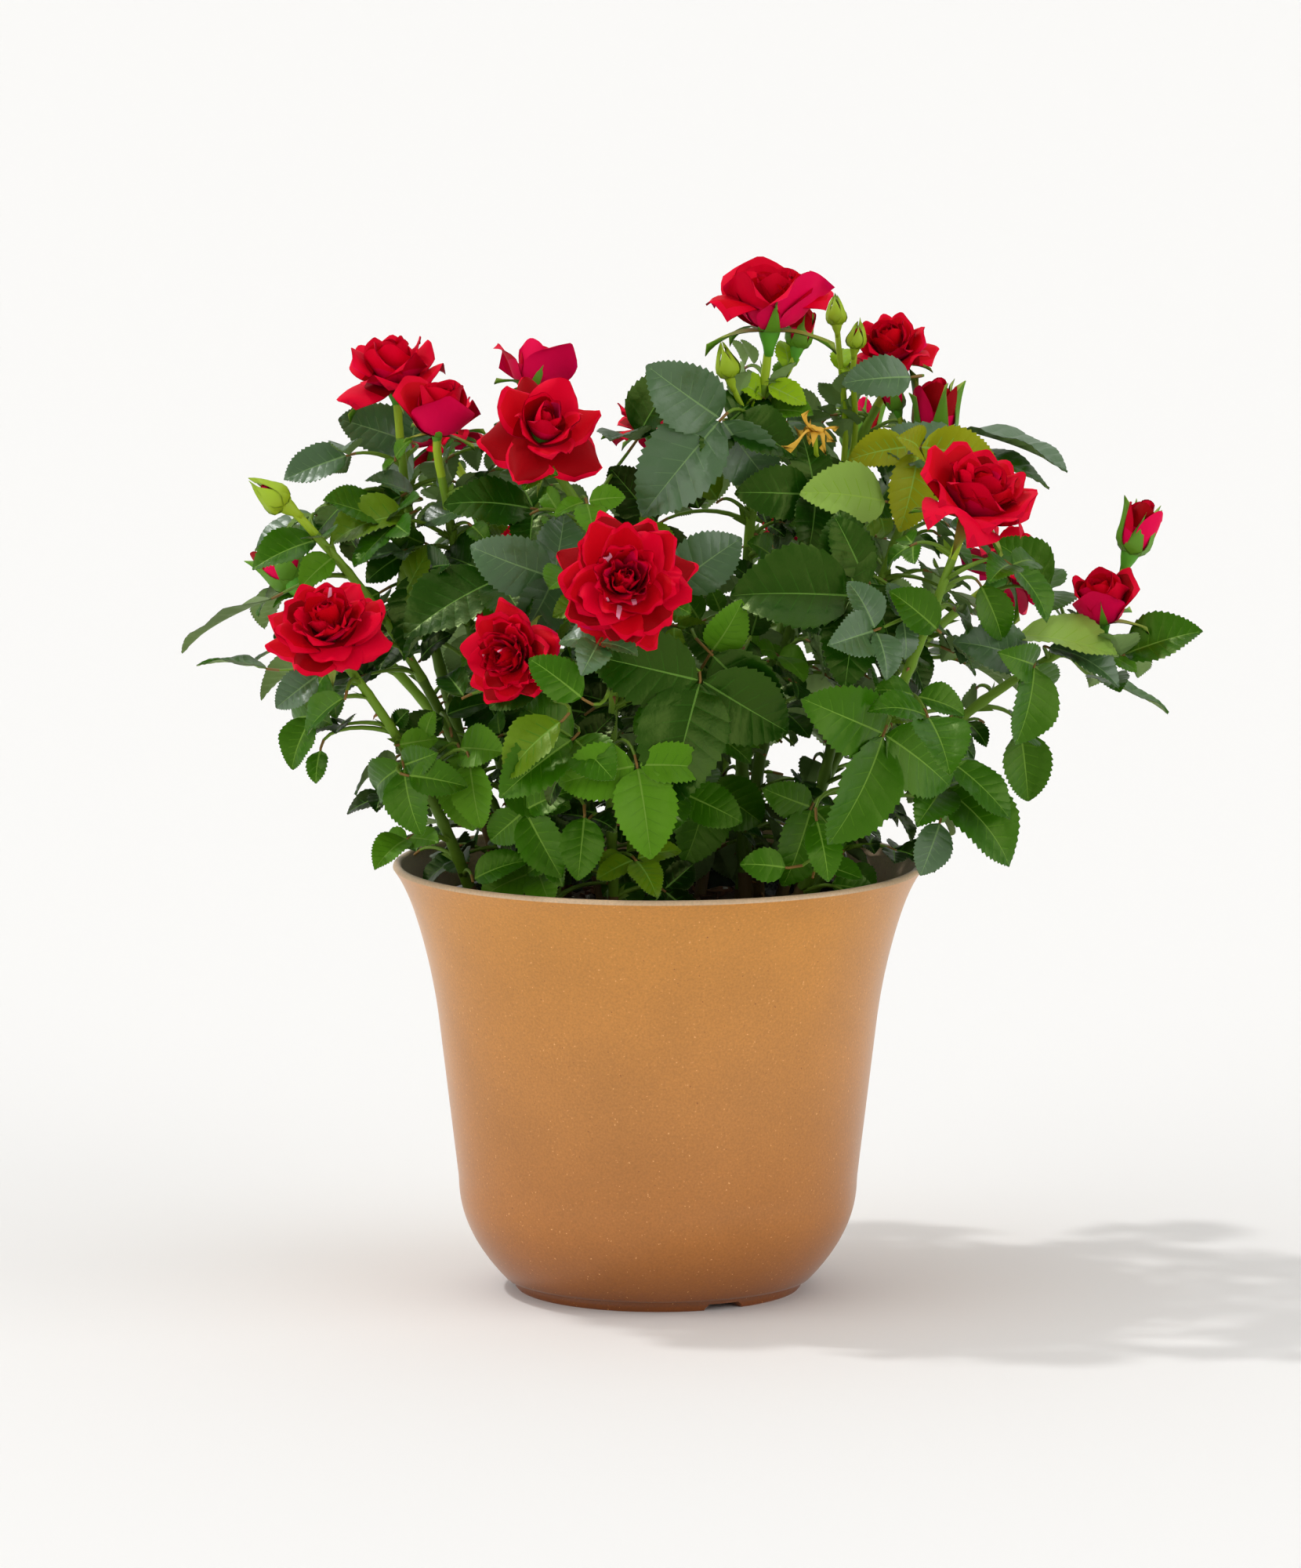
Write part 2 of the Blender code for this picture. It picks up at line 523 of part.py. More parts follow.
class Leaf:
    """A compound leaf: a stalk with a knee and a joint, an end leaflet and up to two pairs.

    Each leaflet is a row of where its root sits on the stalk, its direction, the direction
    that its upper face looks, its length, and its seat: knee or joint, and left or right.
    """

    def __init__(self, start, leaving, joint, tip, count, upright, draw):
        arrival = (tip - joint).normalized()
        size = (tip - joint).length
        knee = curve_point(start, leaving, joint, arrival, STALK_KNEE)
        outward = Vector((joint.x, joint.y, 0.0)).normalized()
        hint = outward * upright + UP * (1.05 - upright)
        normal = (hint - arrival * hint.dot(arrival)).normalized()
        self.path = [start, knee, joint]
        self.headings = [leaving, (joint - start).normalized(), arrival]
        self.normal = normal
        root = joint + arrival * ROOT_REACH
        self.leaflets = [(root, arrival, normal, size - ROOT_REACH, (2, 0))]
        pairs = (count - 1) // 2
        if (knee - joint).length < SECOND_PAIR_ROOM * size:
            pairs = min(pairs, 1)
        for pair in range(pairs):
            station = 2 - pair
            for side in (-1, 1):
                spread = draw.uniform(-PAIR_ANGLE_SPREAD, PAIR_ANGLE_SPREAD)
                angle = PAIR_ANGLES[pair] + spread
                along = turned(self.headings[station], normal, side * angle)
                tilt = turned(normal, arrival, -side * draw.uniform(*PAIR_TILTS))
                blade = (tilt - along * tilt.dot(along)).normalized()
                length = size * PAIR_SIZES[pair] * draw.uniform(*PAIR_SIZE_SPREAD)
                seat = self.edge(station, side)
                self.leaflets.append((seat, along, blade, length, (station, side)))

    def edge(self, station, side):
        """The middle of the stalk's left (1) or right (-1) edge at a station."""
        left = self.normal.cross(self.headings[station]).normalized()
        return self.path[station] + left * side * STALK_RADIUS

    def stalk(self, grow=0.0):
        """The bare stalk, for testing whether it touches anything."""
        path = self.path + [self.path[-1] + self.headings[-1] * ROOT_REACH]
        return tube(path, [STALK_RADIUS + grow] * len(path), STALK_SIDES)

    def shape(self, kept):
        """The whole leaf as one closed shape: an upper and a lower skin that meet at its edge.

        A corner is a pair of point numbers, one for each skin, which are equal on the edge.
        """
        points = []
        faces = []

        def rim(place):
            points.append(place)
            return (len(points) - 1, len(points) - 1)

        def ridge(place, normal, height):
            points.extend((place + normal * height, place - normal * height))
            return (len(points) - 2, len(points) - 1)

        def both(*corners):
            faces.append(tuple(corner[0] for corner in corners))
            faces.append(tuple(corner[1] for corner in reversed(corners)))

        spine = []
        edges = {}
        for station, heading in enumerate(self.headings):
            up = self.normal - heading * self.normal.dot(heading)
            spine.append(ridge(self.path[station], up.normalized(), STALK_RADIUS))
            for side in (-1, 1):
                middle = self.edge(station, side)
                edges[station, side] = [rim(middle - heading * ROOT_REACH)]
                if station:
                    edges[station, side].append(rim(middle + heading * ROOT_REACH))
        for station in (0, 1):
            here, there = spine[station], spine[station + 1]
            both(here, there, edges[station + 1, 1][0], edges[station, 1][-1])
            both(here, edges[station, -1][-1], edges[station + 1, -1][0], there)
        roots = {(2, 0): (edges[2, -1][1], edges[2, 1][1])}
        for station in (1, 2):
            behind, ahead = edges[station, 1]
            roots[station, 1] = (ahead, behind)
            behind, ahead = edges[station, -1]
            roots[station, -1] = (behind, ahead)
        blades = {blade[4]: blade for blade in kept}
        for seat, (right_root, left_root) in roots.items():
            centre = spine[seat[0]]
            if seat not in blades:
                both(centre, right_root, left_root)
                continue
            right, tip, left, middle, normal = blade_corners(*blades[seat][:4])
            hub = ridge(middle, normal, LEAFLET_THICKNESS / 2)
            ring = [centre, right_root, rim(right), rim(tip), rim(left), left_root]
            for index, corner in enumerate(ring):
                both(corner, ring[(index + 1) % len(ring)], hub)
        cap = (spine[0][1], edges[0, -1][0][0], spine[0][0], edges[0, 1][0][0])
        faces.append(cap)
        return points, faces


def outline_leaf(cane, joint, tip, count, upright):
    """A leaf from the table. Its stalk leaves the stem a little below its nearest point."""
    joint = millimetres(joint)
    tip = millimetres(tip)
    draw = random.Random(f"leaf {cane.name} {joint.x:.3f} {joint.z:.3f}")
    lowest = cane.enters + OUTLINE_LEAF_START
    nearest = cane.nearest_share(joint, lowest)
    drop = OUTLINE_LEAF_DROP * (cane.point(nearest) - joint).length / cane.length
    share = max(lowest, nearest - drop)
    start = cane.point(share)
    leaving = (cane.direction(share) + (joint - start).normalized()).normalized()
    return Leaf(start, leaving, joint, tip, count, upright, draw)


def leaves_by_rule(cane):
    """Leaves up the spray's stem, each a fixed turn round from the one below it."""
    leaves = []
    lowest = cane.enters + LEAF_SHARES[0]
    highest = LEAF_SHARES[1]
    number = max(2, round(cane.length * (highest - cane.enters) / LEAF_SPACING))
    first = random.Random(f"first leaf {cane.name}").uniform(0, 360)
    for index in range(number):
        draw = random.Random(f"leaf {cane.name} {index}")
        share = mix(lowest, highest, (index + 0.5) / number)
        start = cane.point(share)
        up_stem = cane.direction(share)
        spread = draw.uniform(-LEAF_TURN_SPREAD, LEAF_TURN_SPREAD)
        heading = first + LEAF_TURN * index + spread
        outward = Vector((start.x, start.y, 0.0)).normalized()
        away = (facing(heading, 0) + outward * LEAF_LEAN_OUT).normalized()
        leaving = (away + up_stem * LEAF_LEAN_UP).normalized()
        size = draw.uniform(*LEAF_SIZES) * MM * (1.0 - LEAF_SHRINK * share)
        arm = (away + UP * draw.uniform(*LEAF_RISE)).normalized()
        joint = start + arm * size * LEAF_ARM
        tip = joint + (away - UP * draw.uniform(*LEAF_DROOP)).normalized() * size
        count = 5 - 2 * (index % 2)
        upright = draw.uniform(*LEAF_UPRIGHT)
        leaves.append(Leaf(start, leaving, joint, tip, count, upright, draw))
    return leaves


def open_bloom(foot, axis, width, opening):
    """A bloom as tiers of lobes round a heart, on its swollen hip.

    Each tier is a radius, the depth of the notches between its lobes, which corner they
    start from, and a height. The two outer tiers sink as the bloom opens.
    """
    hip = BLOOM_HIP * width
    rise = width * mix(*BLOOM_RISE, opening)
    widest = hip + rise * mix(*BLOOM_WIDEST_AT, opening)
    tiers = (
        (0.06, 0.0, 0, 0.0),
        (0.10, 0.0, 0, hip),
        (0.50, 0.2, 0, widest),
        (0.30, 0.0, 0, mix(widest, hip + rise, 0.45)),
        (0.35, 0.2, 1, hip + 0.88 * rise),
        (0.15, 0.0, 0, hip + 0.82 * rise),
    )
    side, over = frame_round(axis)
    rings = []
    for share, notch, start, height in tiers:
        ring = []
        for step in range(2 * BLOOM_LOBES):
            angle = math.pi * step / BLOOM_LOBES
            radius = share * width * (1.0 - notch * ((step + start) % 2))
            spoke = side * math.cos(angle) + over * math.sin(angle)
            ring.append(foot + spoke * radius + axis * height)
        rings.append(ring)
    return skin(rings, None, foot + axis * (hip + BLOOM_TOP * rise))


def closed_bud(foot, axis, width, opening):
    """A bud: a hip, the closed petals and a pointed tip."""
    height = width * (BUD_HEIGHT - opening)
    side, over = frame_round(axis)
    rings = []
    for share, up in BUD_SHAPE:
        ring = []
        for step in range(BUD_SIDES):
            angle = 2.0 * math.pi * step / BUD_SIDES
            spoke = side * math.cos(angle) + over * math.sin(angle)
            ring.append(foot + spoke * share * width + axis * up * height)
        rings.append(ring)
    return skin(rings, None, foot + axis * height * BUD_TOP)


def flower_shape(foot, flower):
    """The solid for a bud or a bloom, from its row in the tables."""
    heading, pitch, width, opening = flower
    axis = facing(heading, pitch)
    make = open_bloom if opening > OPEN_FROM else closed_bud
    return make(foot, axis, width * MM, opening)


def bud_shoots(cane):
    """The side shoots of one cane: their stalks and buds."""
    shapes = []
    for name, share, place, flower in BUD_SHOOTS:
        if name == cane.name:
            foot = millimetres(place)
            axis = facing(*flower[:2])
            end = foot + axis * FLOWER_SEAT
            shapes.append(shoot(cane.point(share), cane.direction(share), end, axis))
            shapes.append(flower_shape(foot, flower))
    return shapes


def search_tree(shape):
    points, faces = shape
    return BVHTree.FromPolygons([tuple(p) for p in points], faces)


def clear_of(shape, trees):
    """True when a shape crosses none of the trees."""
    probe = search_tree(shape)
    return not any(probe.overlap(tree) for tree in trees)


def grow_leaves(canes, limbs, stems, flowers, still_things):
    """Give each spray its leaves, leaving out any leaf or leaflet that would touch something."""
    taken = {cane.name: stems[cane.name] + flowers[cane.name] for cane in canes}
    stem_trees = {cane.name: [search_tree(shape) for shape in stems[cane.name]] for cane in canes}
    trees = [search_tree(shape) for shapes in flowers.values() for shape in shapes]
    trees += [search_tree(shape) for shape in list(limbs.values()) + still_things]
    by_name = {cane.name: cane for cane in canes}
    wanted = [(row[0], outline_leaf(by_name[row[0]], *row[1:])) for row in OUTLINE_LEAVES]
    wanted += [(cane.name, leaf) for cane in canes for leaf in leaves_by_rule(cane)]
    for name, leaf in wanted:
        others = [tree for other, kept in stem_trees.items() if other != name for tree in kept]
        if not clear_of(leaf.stalk(CLEARANCE), trees + others):
            continue
        kept = []
        own = []
        for blade in leaf.leaflets:
            probe = blade_probe(*blade[:4])
            if clear_of(probe, trees + others + stem_trees[name] + own):
                kept.append(blade)
                own.append(search_tree(probe))
        if kept:
            shape = leaf.shape(kept)
            taken[name].append(shape)
            trees.append(search_tree(shape))
    return taken


def join(name, shapes, material):
    """Fuse a stem with everything on it by one union on a collection."""
    trunk = solid(name, shapes[0], material)
    parts = bpy.data.collections.new(f"{name}_parts")
    bpy.context.scene.collection.children.link(parts)
    for index, shape in enumerate(shapes[1:]):
        piece = solid(f"{name}_piece_{index}", shape, material)
        bpy.context.scene.collection.objects.unlink(piece)
        parts.objects.link(piece)
    union = trunk.modifiers.new("union", "BOOLEAN")
    union.operation = "UNION"
    union.solver = "MANIFOLD"
    union.operand_type = "COLLECTION"
    union.collection = parts
    evaluated = trunk.evaluated_get(bpy.context.evaluated_depsgraph_get())
    joined = bpy.data.meshes.new_from_object(evaluated)
    trunk.modifiers.clear()
    trunk.data = joined
    for piece in list(parts.objects):
        bpy.data.objects.remove(piece, do_unlink=True)
    bpy.data.collections.remove(parts)
    return trunk


def main():
    blank_scene()
    build_pot()
    black = finish("black_liner", (0.012, 0.012, 0.013), 0.4)
    solid("liner", lathe(liner_profile(), LINER_SEGMENTS), black)
    earth = finish("potting_mix", (0.045, 0.026, 0.016), 0.95)
    solid("potting_mix", lathe(mix_profile(), LINER_SEGMENTS), earth)
    canes = [Cane(*row) for row in FRONT_CANES] + back_canes()
    bark = finish("cane_bark", (0.10, 0.20, 0.03), 0.55)
    green = finish("leaf_green", (0.05, 0.14, 0.03), 0.5)
    limbs = {cane.name: limb(cane) for cane in canes}
    stems = {cane.name: [spray_stem(cane)] for cane in canes}
    flowers = {}
    for cane in canes:
        solid(f"cane_{cane.name}", limbs[cane.name], bark)
        flowers[cane.name] = [flower_shape(cane.tip, cane.flower)] + bud_shoots(cane)
    still_things = [lathe(pot_profile(), POT_SEGMENTS), lathe(liner_profile(), LINER_SEGMENTS)]
    still_things.append(lathe(mix_profile(), LINER_SEGMENTS))
    sprays = grow_leaves(canes, limbs, stems, flowers, still_things)
    for cane in canes:
        join(f"spray_{cane.name}", sprays[cane.name], green)


main()
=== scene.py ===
import math
import random
from itertools import product

import bpy
import numpy as np
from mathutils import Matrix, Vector
from mathutils.bvhtree import BVHTree


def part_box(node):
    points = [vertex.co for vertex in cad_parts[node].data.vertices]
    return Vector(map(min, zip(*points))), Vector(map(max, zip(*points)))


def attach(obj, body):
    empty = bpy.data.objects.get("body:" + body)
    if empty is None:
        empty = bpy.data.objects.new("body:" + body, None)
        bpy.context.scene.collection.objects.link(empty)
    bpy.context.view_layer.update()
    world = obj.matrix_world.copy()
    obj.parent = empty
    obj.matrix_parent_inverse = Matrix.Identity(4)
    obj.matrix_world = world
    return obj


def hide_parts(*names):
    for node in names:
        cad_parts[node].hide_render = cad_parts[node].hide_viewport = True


# The looks of a potted miniature rose bush in flower. Its canes, toothed leaves, buds and blooms
# grow by the same rule as the solids. The solids are in metres, and the tables give places and
# sizes in millimetres and angles in degrees.

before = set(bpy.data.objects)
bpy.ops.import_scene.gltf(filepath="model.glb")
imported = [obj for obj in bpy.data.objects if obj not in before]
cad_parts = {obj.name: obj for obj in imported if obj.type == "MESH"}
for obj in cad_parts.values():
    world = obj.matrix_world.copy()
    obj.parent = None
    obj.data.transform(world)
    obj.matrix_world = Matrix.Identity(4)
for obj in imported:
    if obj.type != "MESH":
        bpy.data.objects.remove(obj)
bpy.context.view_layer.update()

MM = 0.001
UP = Vector((0.0, 0.0, 1.0))
CLEARANCE = 0.3 * MM

# The pot, from the frame and from the plain section that its solid was turned from.
RIM_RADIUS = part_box("pot")[1].x
POT_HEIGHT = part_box("pot")[1].z
MIX_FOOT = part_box("potting_mix")[0].z
MIX_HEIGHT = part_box("potting_mix")[1].z
LINER_RIM_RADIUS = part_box("liner")[1].x
LINER_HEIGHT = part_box("liner")[1].z
AXIS_GAP = 0.1 * MM
POT_SEGMENTS = 192
LIP_THICKNESS = 2.6 * MM
LIP_STEPS = 8
FOOT_RADIUS = 42.0 * MM
FOOT_HEIGHT = 3.4 * MM
SHOULDER_FOOT_RADIUS = 45.0 * MM
SHOULDER_RADIUS = 58.4 * MM
SHOULDER_HEIGHT = 32.5 * MM
SHOULDER_ROUNDNESS = 2.1
TAPER_RADIUS = 64.0 * MM
TAPER_HEIGHT = 79.0 * MM
FLARE_SWEEP = 0.75
FLARE_SWEEP_POWER = 2
LIP_CURL_POWER = 10
FLOOR_HEIGHT = 7.0 * MM
FLOOR_RADIUS = 45.9 * MM
RECESS_DEPTH = 2.0 * MM
RECESS_RADIUS = 35.0 * MM
HUB_RADIUS = 10.0 * MM
NOTCH_HEADINGS = (-62.0, 58.0, 178.0)
NOTCH_WIDTH = 11.0 * MM
NOTCH_HEIGHT = 1.8 * MM
CHIP_COUNT = 420
GRAIN_COUNT = 70

# Canes, stalks and thorns.
CANE_TIP_RADIUS = 1.25 * MM
CANE_STEPS = 46
CANE_SIDES = 9
CANE_END = 0.9
STALK_RADIUS = 0.8 * MM
STALK_RADII = (0.85, 0.42)
STALK_KNEE = 0.55
STALK_STEPS = 8
STALK_SIDES = 5
STIPULE = ((5.5, 1.9), (4.0, 0.3), (0.0, 1.3))
ROOT_REACH = 0.9 * MM
JOINT_SWELL = 1.16
CANE_UNEVENNESS = (0.95, 1.04)
BROWN_HEIGHTS = (6.0, 12.0, 30.0)
FRESH_FROM = (0.3, 0.7)
LIMY_FROM = 0.93
THORNS_UP_TO = 0.8
THORN_SPACING = 11.0 * MM
THORN_LENGTH = (1.6, 3.0)
THORN_SHAPE = ((0.0, 0.0), (0.55, 0.05), (1.0, 0.35))
BRACTS = 4
BRACT_SIZES = (6.0, 11.0)

# Leaflets and where they sit on their stalk, as in the source.
LEAFLET_WIDTH_SHARE = 0.76
LEAFLET_WIDEST = 0.46
LEAFLET_THICKNESS = 0.7 * MM
LEAFLET_FOLD = 0.06
PAIR_SIZES = (0.88, 0.68)
PAIR_SIZE_SPREAD = (0.92, 1.06)
PAIR_ANGLES = (82.0, 78.0)
PAIR_ANGLE_SPREAD = 6.0
PAIR_TILTS = (2.0, 20.0)
SECOND_PAIR_ROOM = 0.45
LEAF_SPACING = 13.8 * MM
LEAF_SHARES = (0.05, 0.93)
LEAF_SIZES = (23.0, 31.0)
LEAF_SHRINK = 0.3
LEAF_TURN = 144.0
LEAF_TURN_SPREAD = 15.0
LEAF_LEAN_OUT = 0.55
LEAF_LEAN_UP = 0.7
LEAF_ARM = 1.15
LEAF_RISE = (-0.1, 0.35)
LEAF_DROOP = (0.1, 0.9)
LEAF_UPRIGHT = (0.3, 0.8)
TABLE_LEAF_START = 0.04
TABLE_LEAF_DROP = 0.35

# The smaller leaves that the scene adds between the others, and how far blades turn about
# their midribs to face the front, by where they stand from front to back.
FINE_SPACING = 6.0 * MM
FINE_SHARES = (0.08, 0.96)
FINE_SIZES = (12.0, 22.0)
TO_FRONT = 1.6
FACE_FRONT = (0.45, 0.1)
FRONT_TO_BACK = (-20.0 * MM, 40.0 * MM)

# A leaflet's blade, teeth and veins.
LEAF_COLUMNS = (-1.0, -0.55, -0.01, 0.01, 0.55, 1.0)
LEAF_WIDTH_SHARES = (0.56, 0.72)
LEAF_BASE_POWER = 0.62
LEAF_TIP_POWER = 0.82
LEAF_THICKNESS = 0.3 * MM
LEAF_EDGE = 0.05 * MM
LARGE_LEAFLET = 14.0 * MM
LEAFLET_VEINS = (5, 8)
VEIN_SLANT = 0.18
VEIN_WIDTH = 0.3 * MM
RIB_WIDTH = 0.6 * MM
LEAFLET_FOOT = 0.35 * MM
TOOTH_PLACE = 0.8
TOOTH_SHARE = 0.025
LEAST_TOOTH = 0.4 * MM
QUILT_SHARE = 0.014
WAVE_SHARE = 0.022
PAIR_SHRINK = (0.78, 0.98)
LEAFLET_NOD = (-14.0, 5.6)
LEAFLET_TILT = (-18, 18)
LEAFLET_BOW = (0.01, 0.09)
LEAFLET_FOLDS = (0.15, 0.55)
LEAFLET_CURL = (-0.02, 0.12)
LEAFLET_WAVES = (1.2, 2.2)
VEINS = {"deep": "dark", "dark": "dark", "mid": "mid", "olive": "mid", "fresh": "mid", "dusty": "dusty"}

# Blooms and buds. Where the hip, the rise and the height end is a share of a flower's width.
OPEN_FROM = 0.2
BLOOM_HIP = 0.13
BLOOM_RISE = (0.78, 0.42)
BUD_HEIGHT = 1.55
BUD_PETALS = 8
SEPALS = 5
HIP_SECTION = ((-2.2, 0.36), (-1.4, 0.50), (-0.6, 0.80), (0.1, 0.98), (0.6, 0.94), (1.0, 0.70))
GOLDEN_TURN = 137.5
PETAL_ROWS = 9
PETAL_COLUMNS = 9
PETAL_SHOULDER = 0.62
PETAL_THICKNESS = 0.22 * MM
SPENT_PLACE = (45, -30, 255)
SPENT_SHARE = 0.72
SPENT_PETALS = 12

# The front canes: name, foot, bend, tip, radius at the foot, share at which the cane enters
# its spray, and the flower's heading, pitch, width and opening.
FRONT_CANES = (
    ("left_low", (-51, -14), (-73, -33, 163), (-93, -46, 194), 1.9, 0.36, (-100, 50, 37, 0.95)),
    ("left_reaching", (-44, 8), (-76, -16, 194), (-106, -25, 232), 1.8, 0.36, (180, 35, 11, 0.0)),
    ("left_tall", (-38, 14), (-66, 13, 190), (-76, 10, 260), 2.0, 0.34, (-110, 75, 31, 0.6)),
    ("left_front", (-34, -4), (-57, -6, 208), (-64, -14, 250), 1.9, 0.34, (-60, 78, 21, 0.3)),
    ("left_inner", (-15, 8), (-34, 14, 212), (-38, 8, 261), 1.9, 0.34, (60, 55, 23, 0.45)),
    ("middle_low", (-30, -26), (-35, -42, 163), (-38, -54, 193), 1.6, 0.32, (-120, 5, 32, 0.9)),
    ("middle_front", (-12, -30), (-13, -50, 175), (-10, -64, 213), 1.7, 0.32, (-88, 20, 41, 0.95)),
    ("middle_tall", (-8, -16), (-13, -26, 212), (-34, -28, 250), 1.8, 0.32, (-80, 40, 37, 0.8)),
    ("right_tallest", (26, 6), (26, 0, 213), (32, -10, 278), 2.2, 0.32, (-75, 82, 38, 0.62)),
    ("right_inner", (24, 16), (44, 20, 208), (69, 19, 268), 2.0, 0.34, (-110, 60, 25, 0.6)),
    ("right_back", (40, 2), (62, 18, 196), (80, 8, 246), 1.9, 0.34, (0, 85, 14, 0.15)),
    ("right_front", (35, -20), (71, -44, 186), (87, -50, 229), 2.0, 0.32, (-50, 45, 37, 0.65)),
    ("right_reaching", (40, -8), (85, -18, 168), (129, -20, 196), 1.9, 0.34, (-120, 60, 20, 0.4)),
)

# Side shoots that carry a bud: the cane, the share at which the shoot leaves it, the bud's
# foot, and its heading, pitch, width and opening.
BUD_SHOOTS = (
    ("right_reaching", 0.86, (136, -12, 216), (0, 70, 12, 0.12)),
    ("right_tallest", 0.84, (40, -2, 275), (40, 75, 9, 0.1)),
    ("right_tallest", 0.80, (21, -16, 268), (200, 75, 8, 0.0)),
    ("right_inner", 0.74, (52, 10, 281), (120, 82, 7, 0.0)),
    ("right_inner", 0.80, (57, 4, 275), (-60, 75, 7, 0.0)),
    ("right_back", 0.88, (70, 12, 256), (180, 75, 7, 0.1)),
)

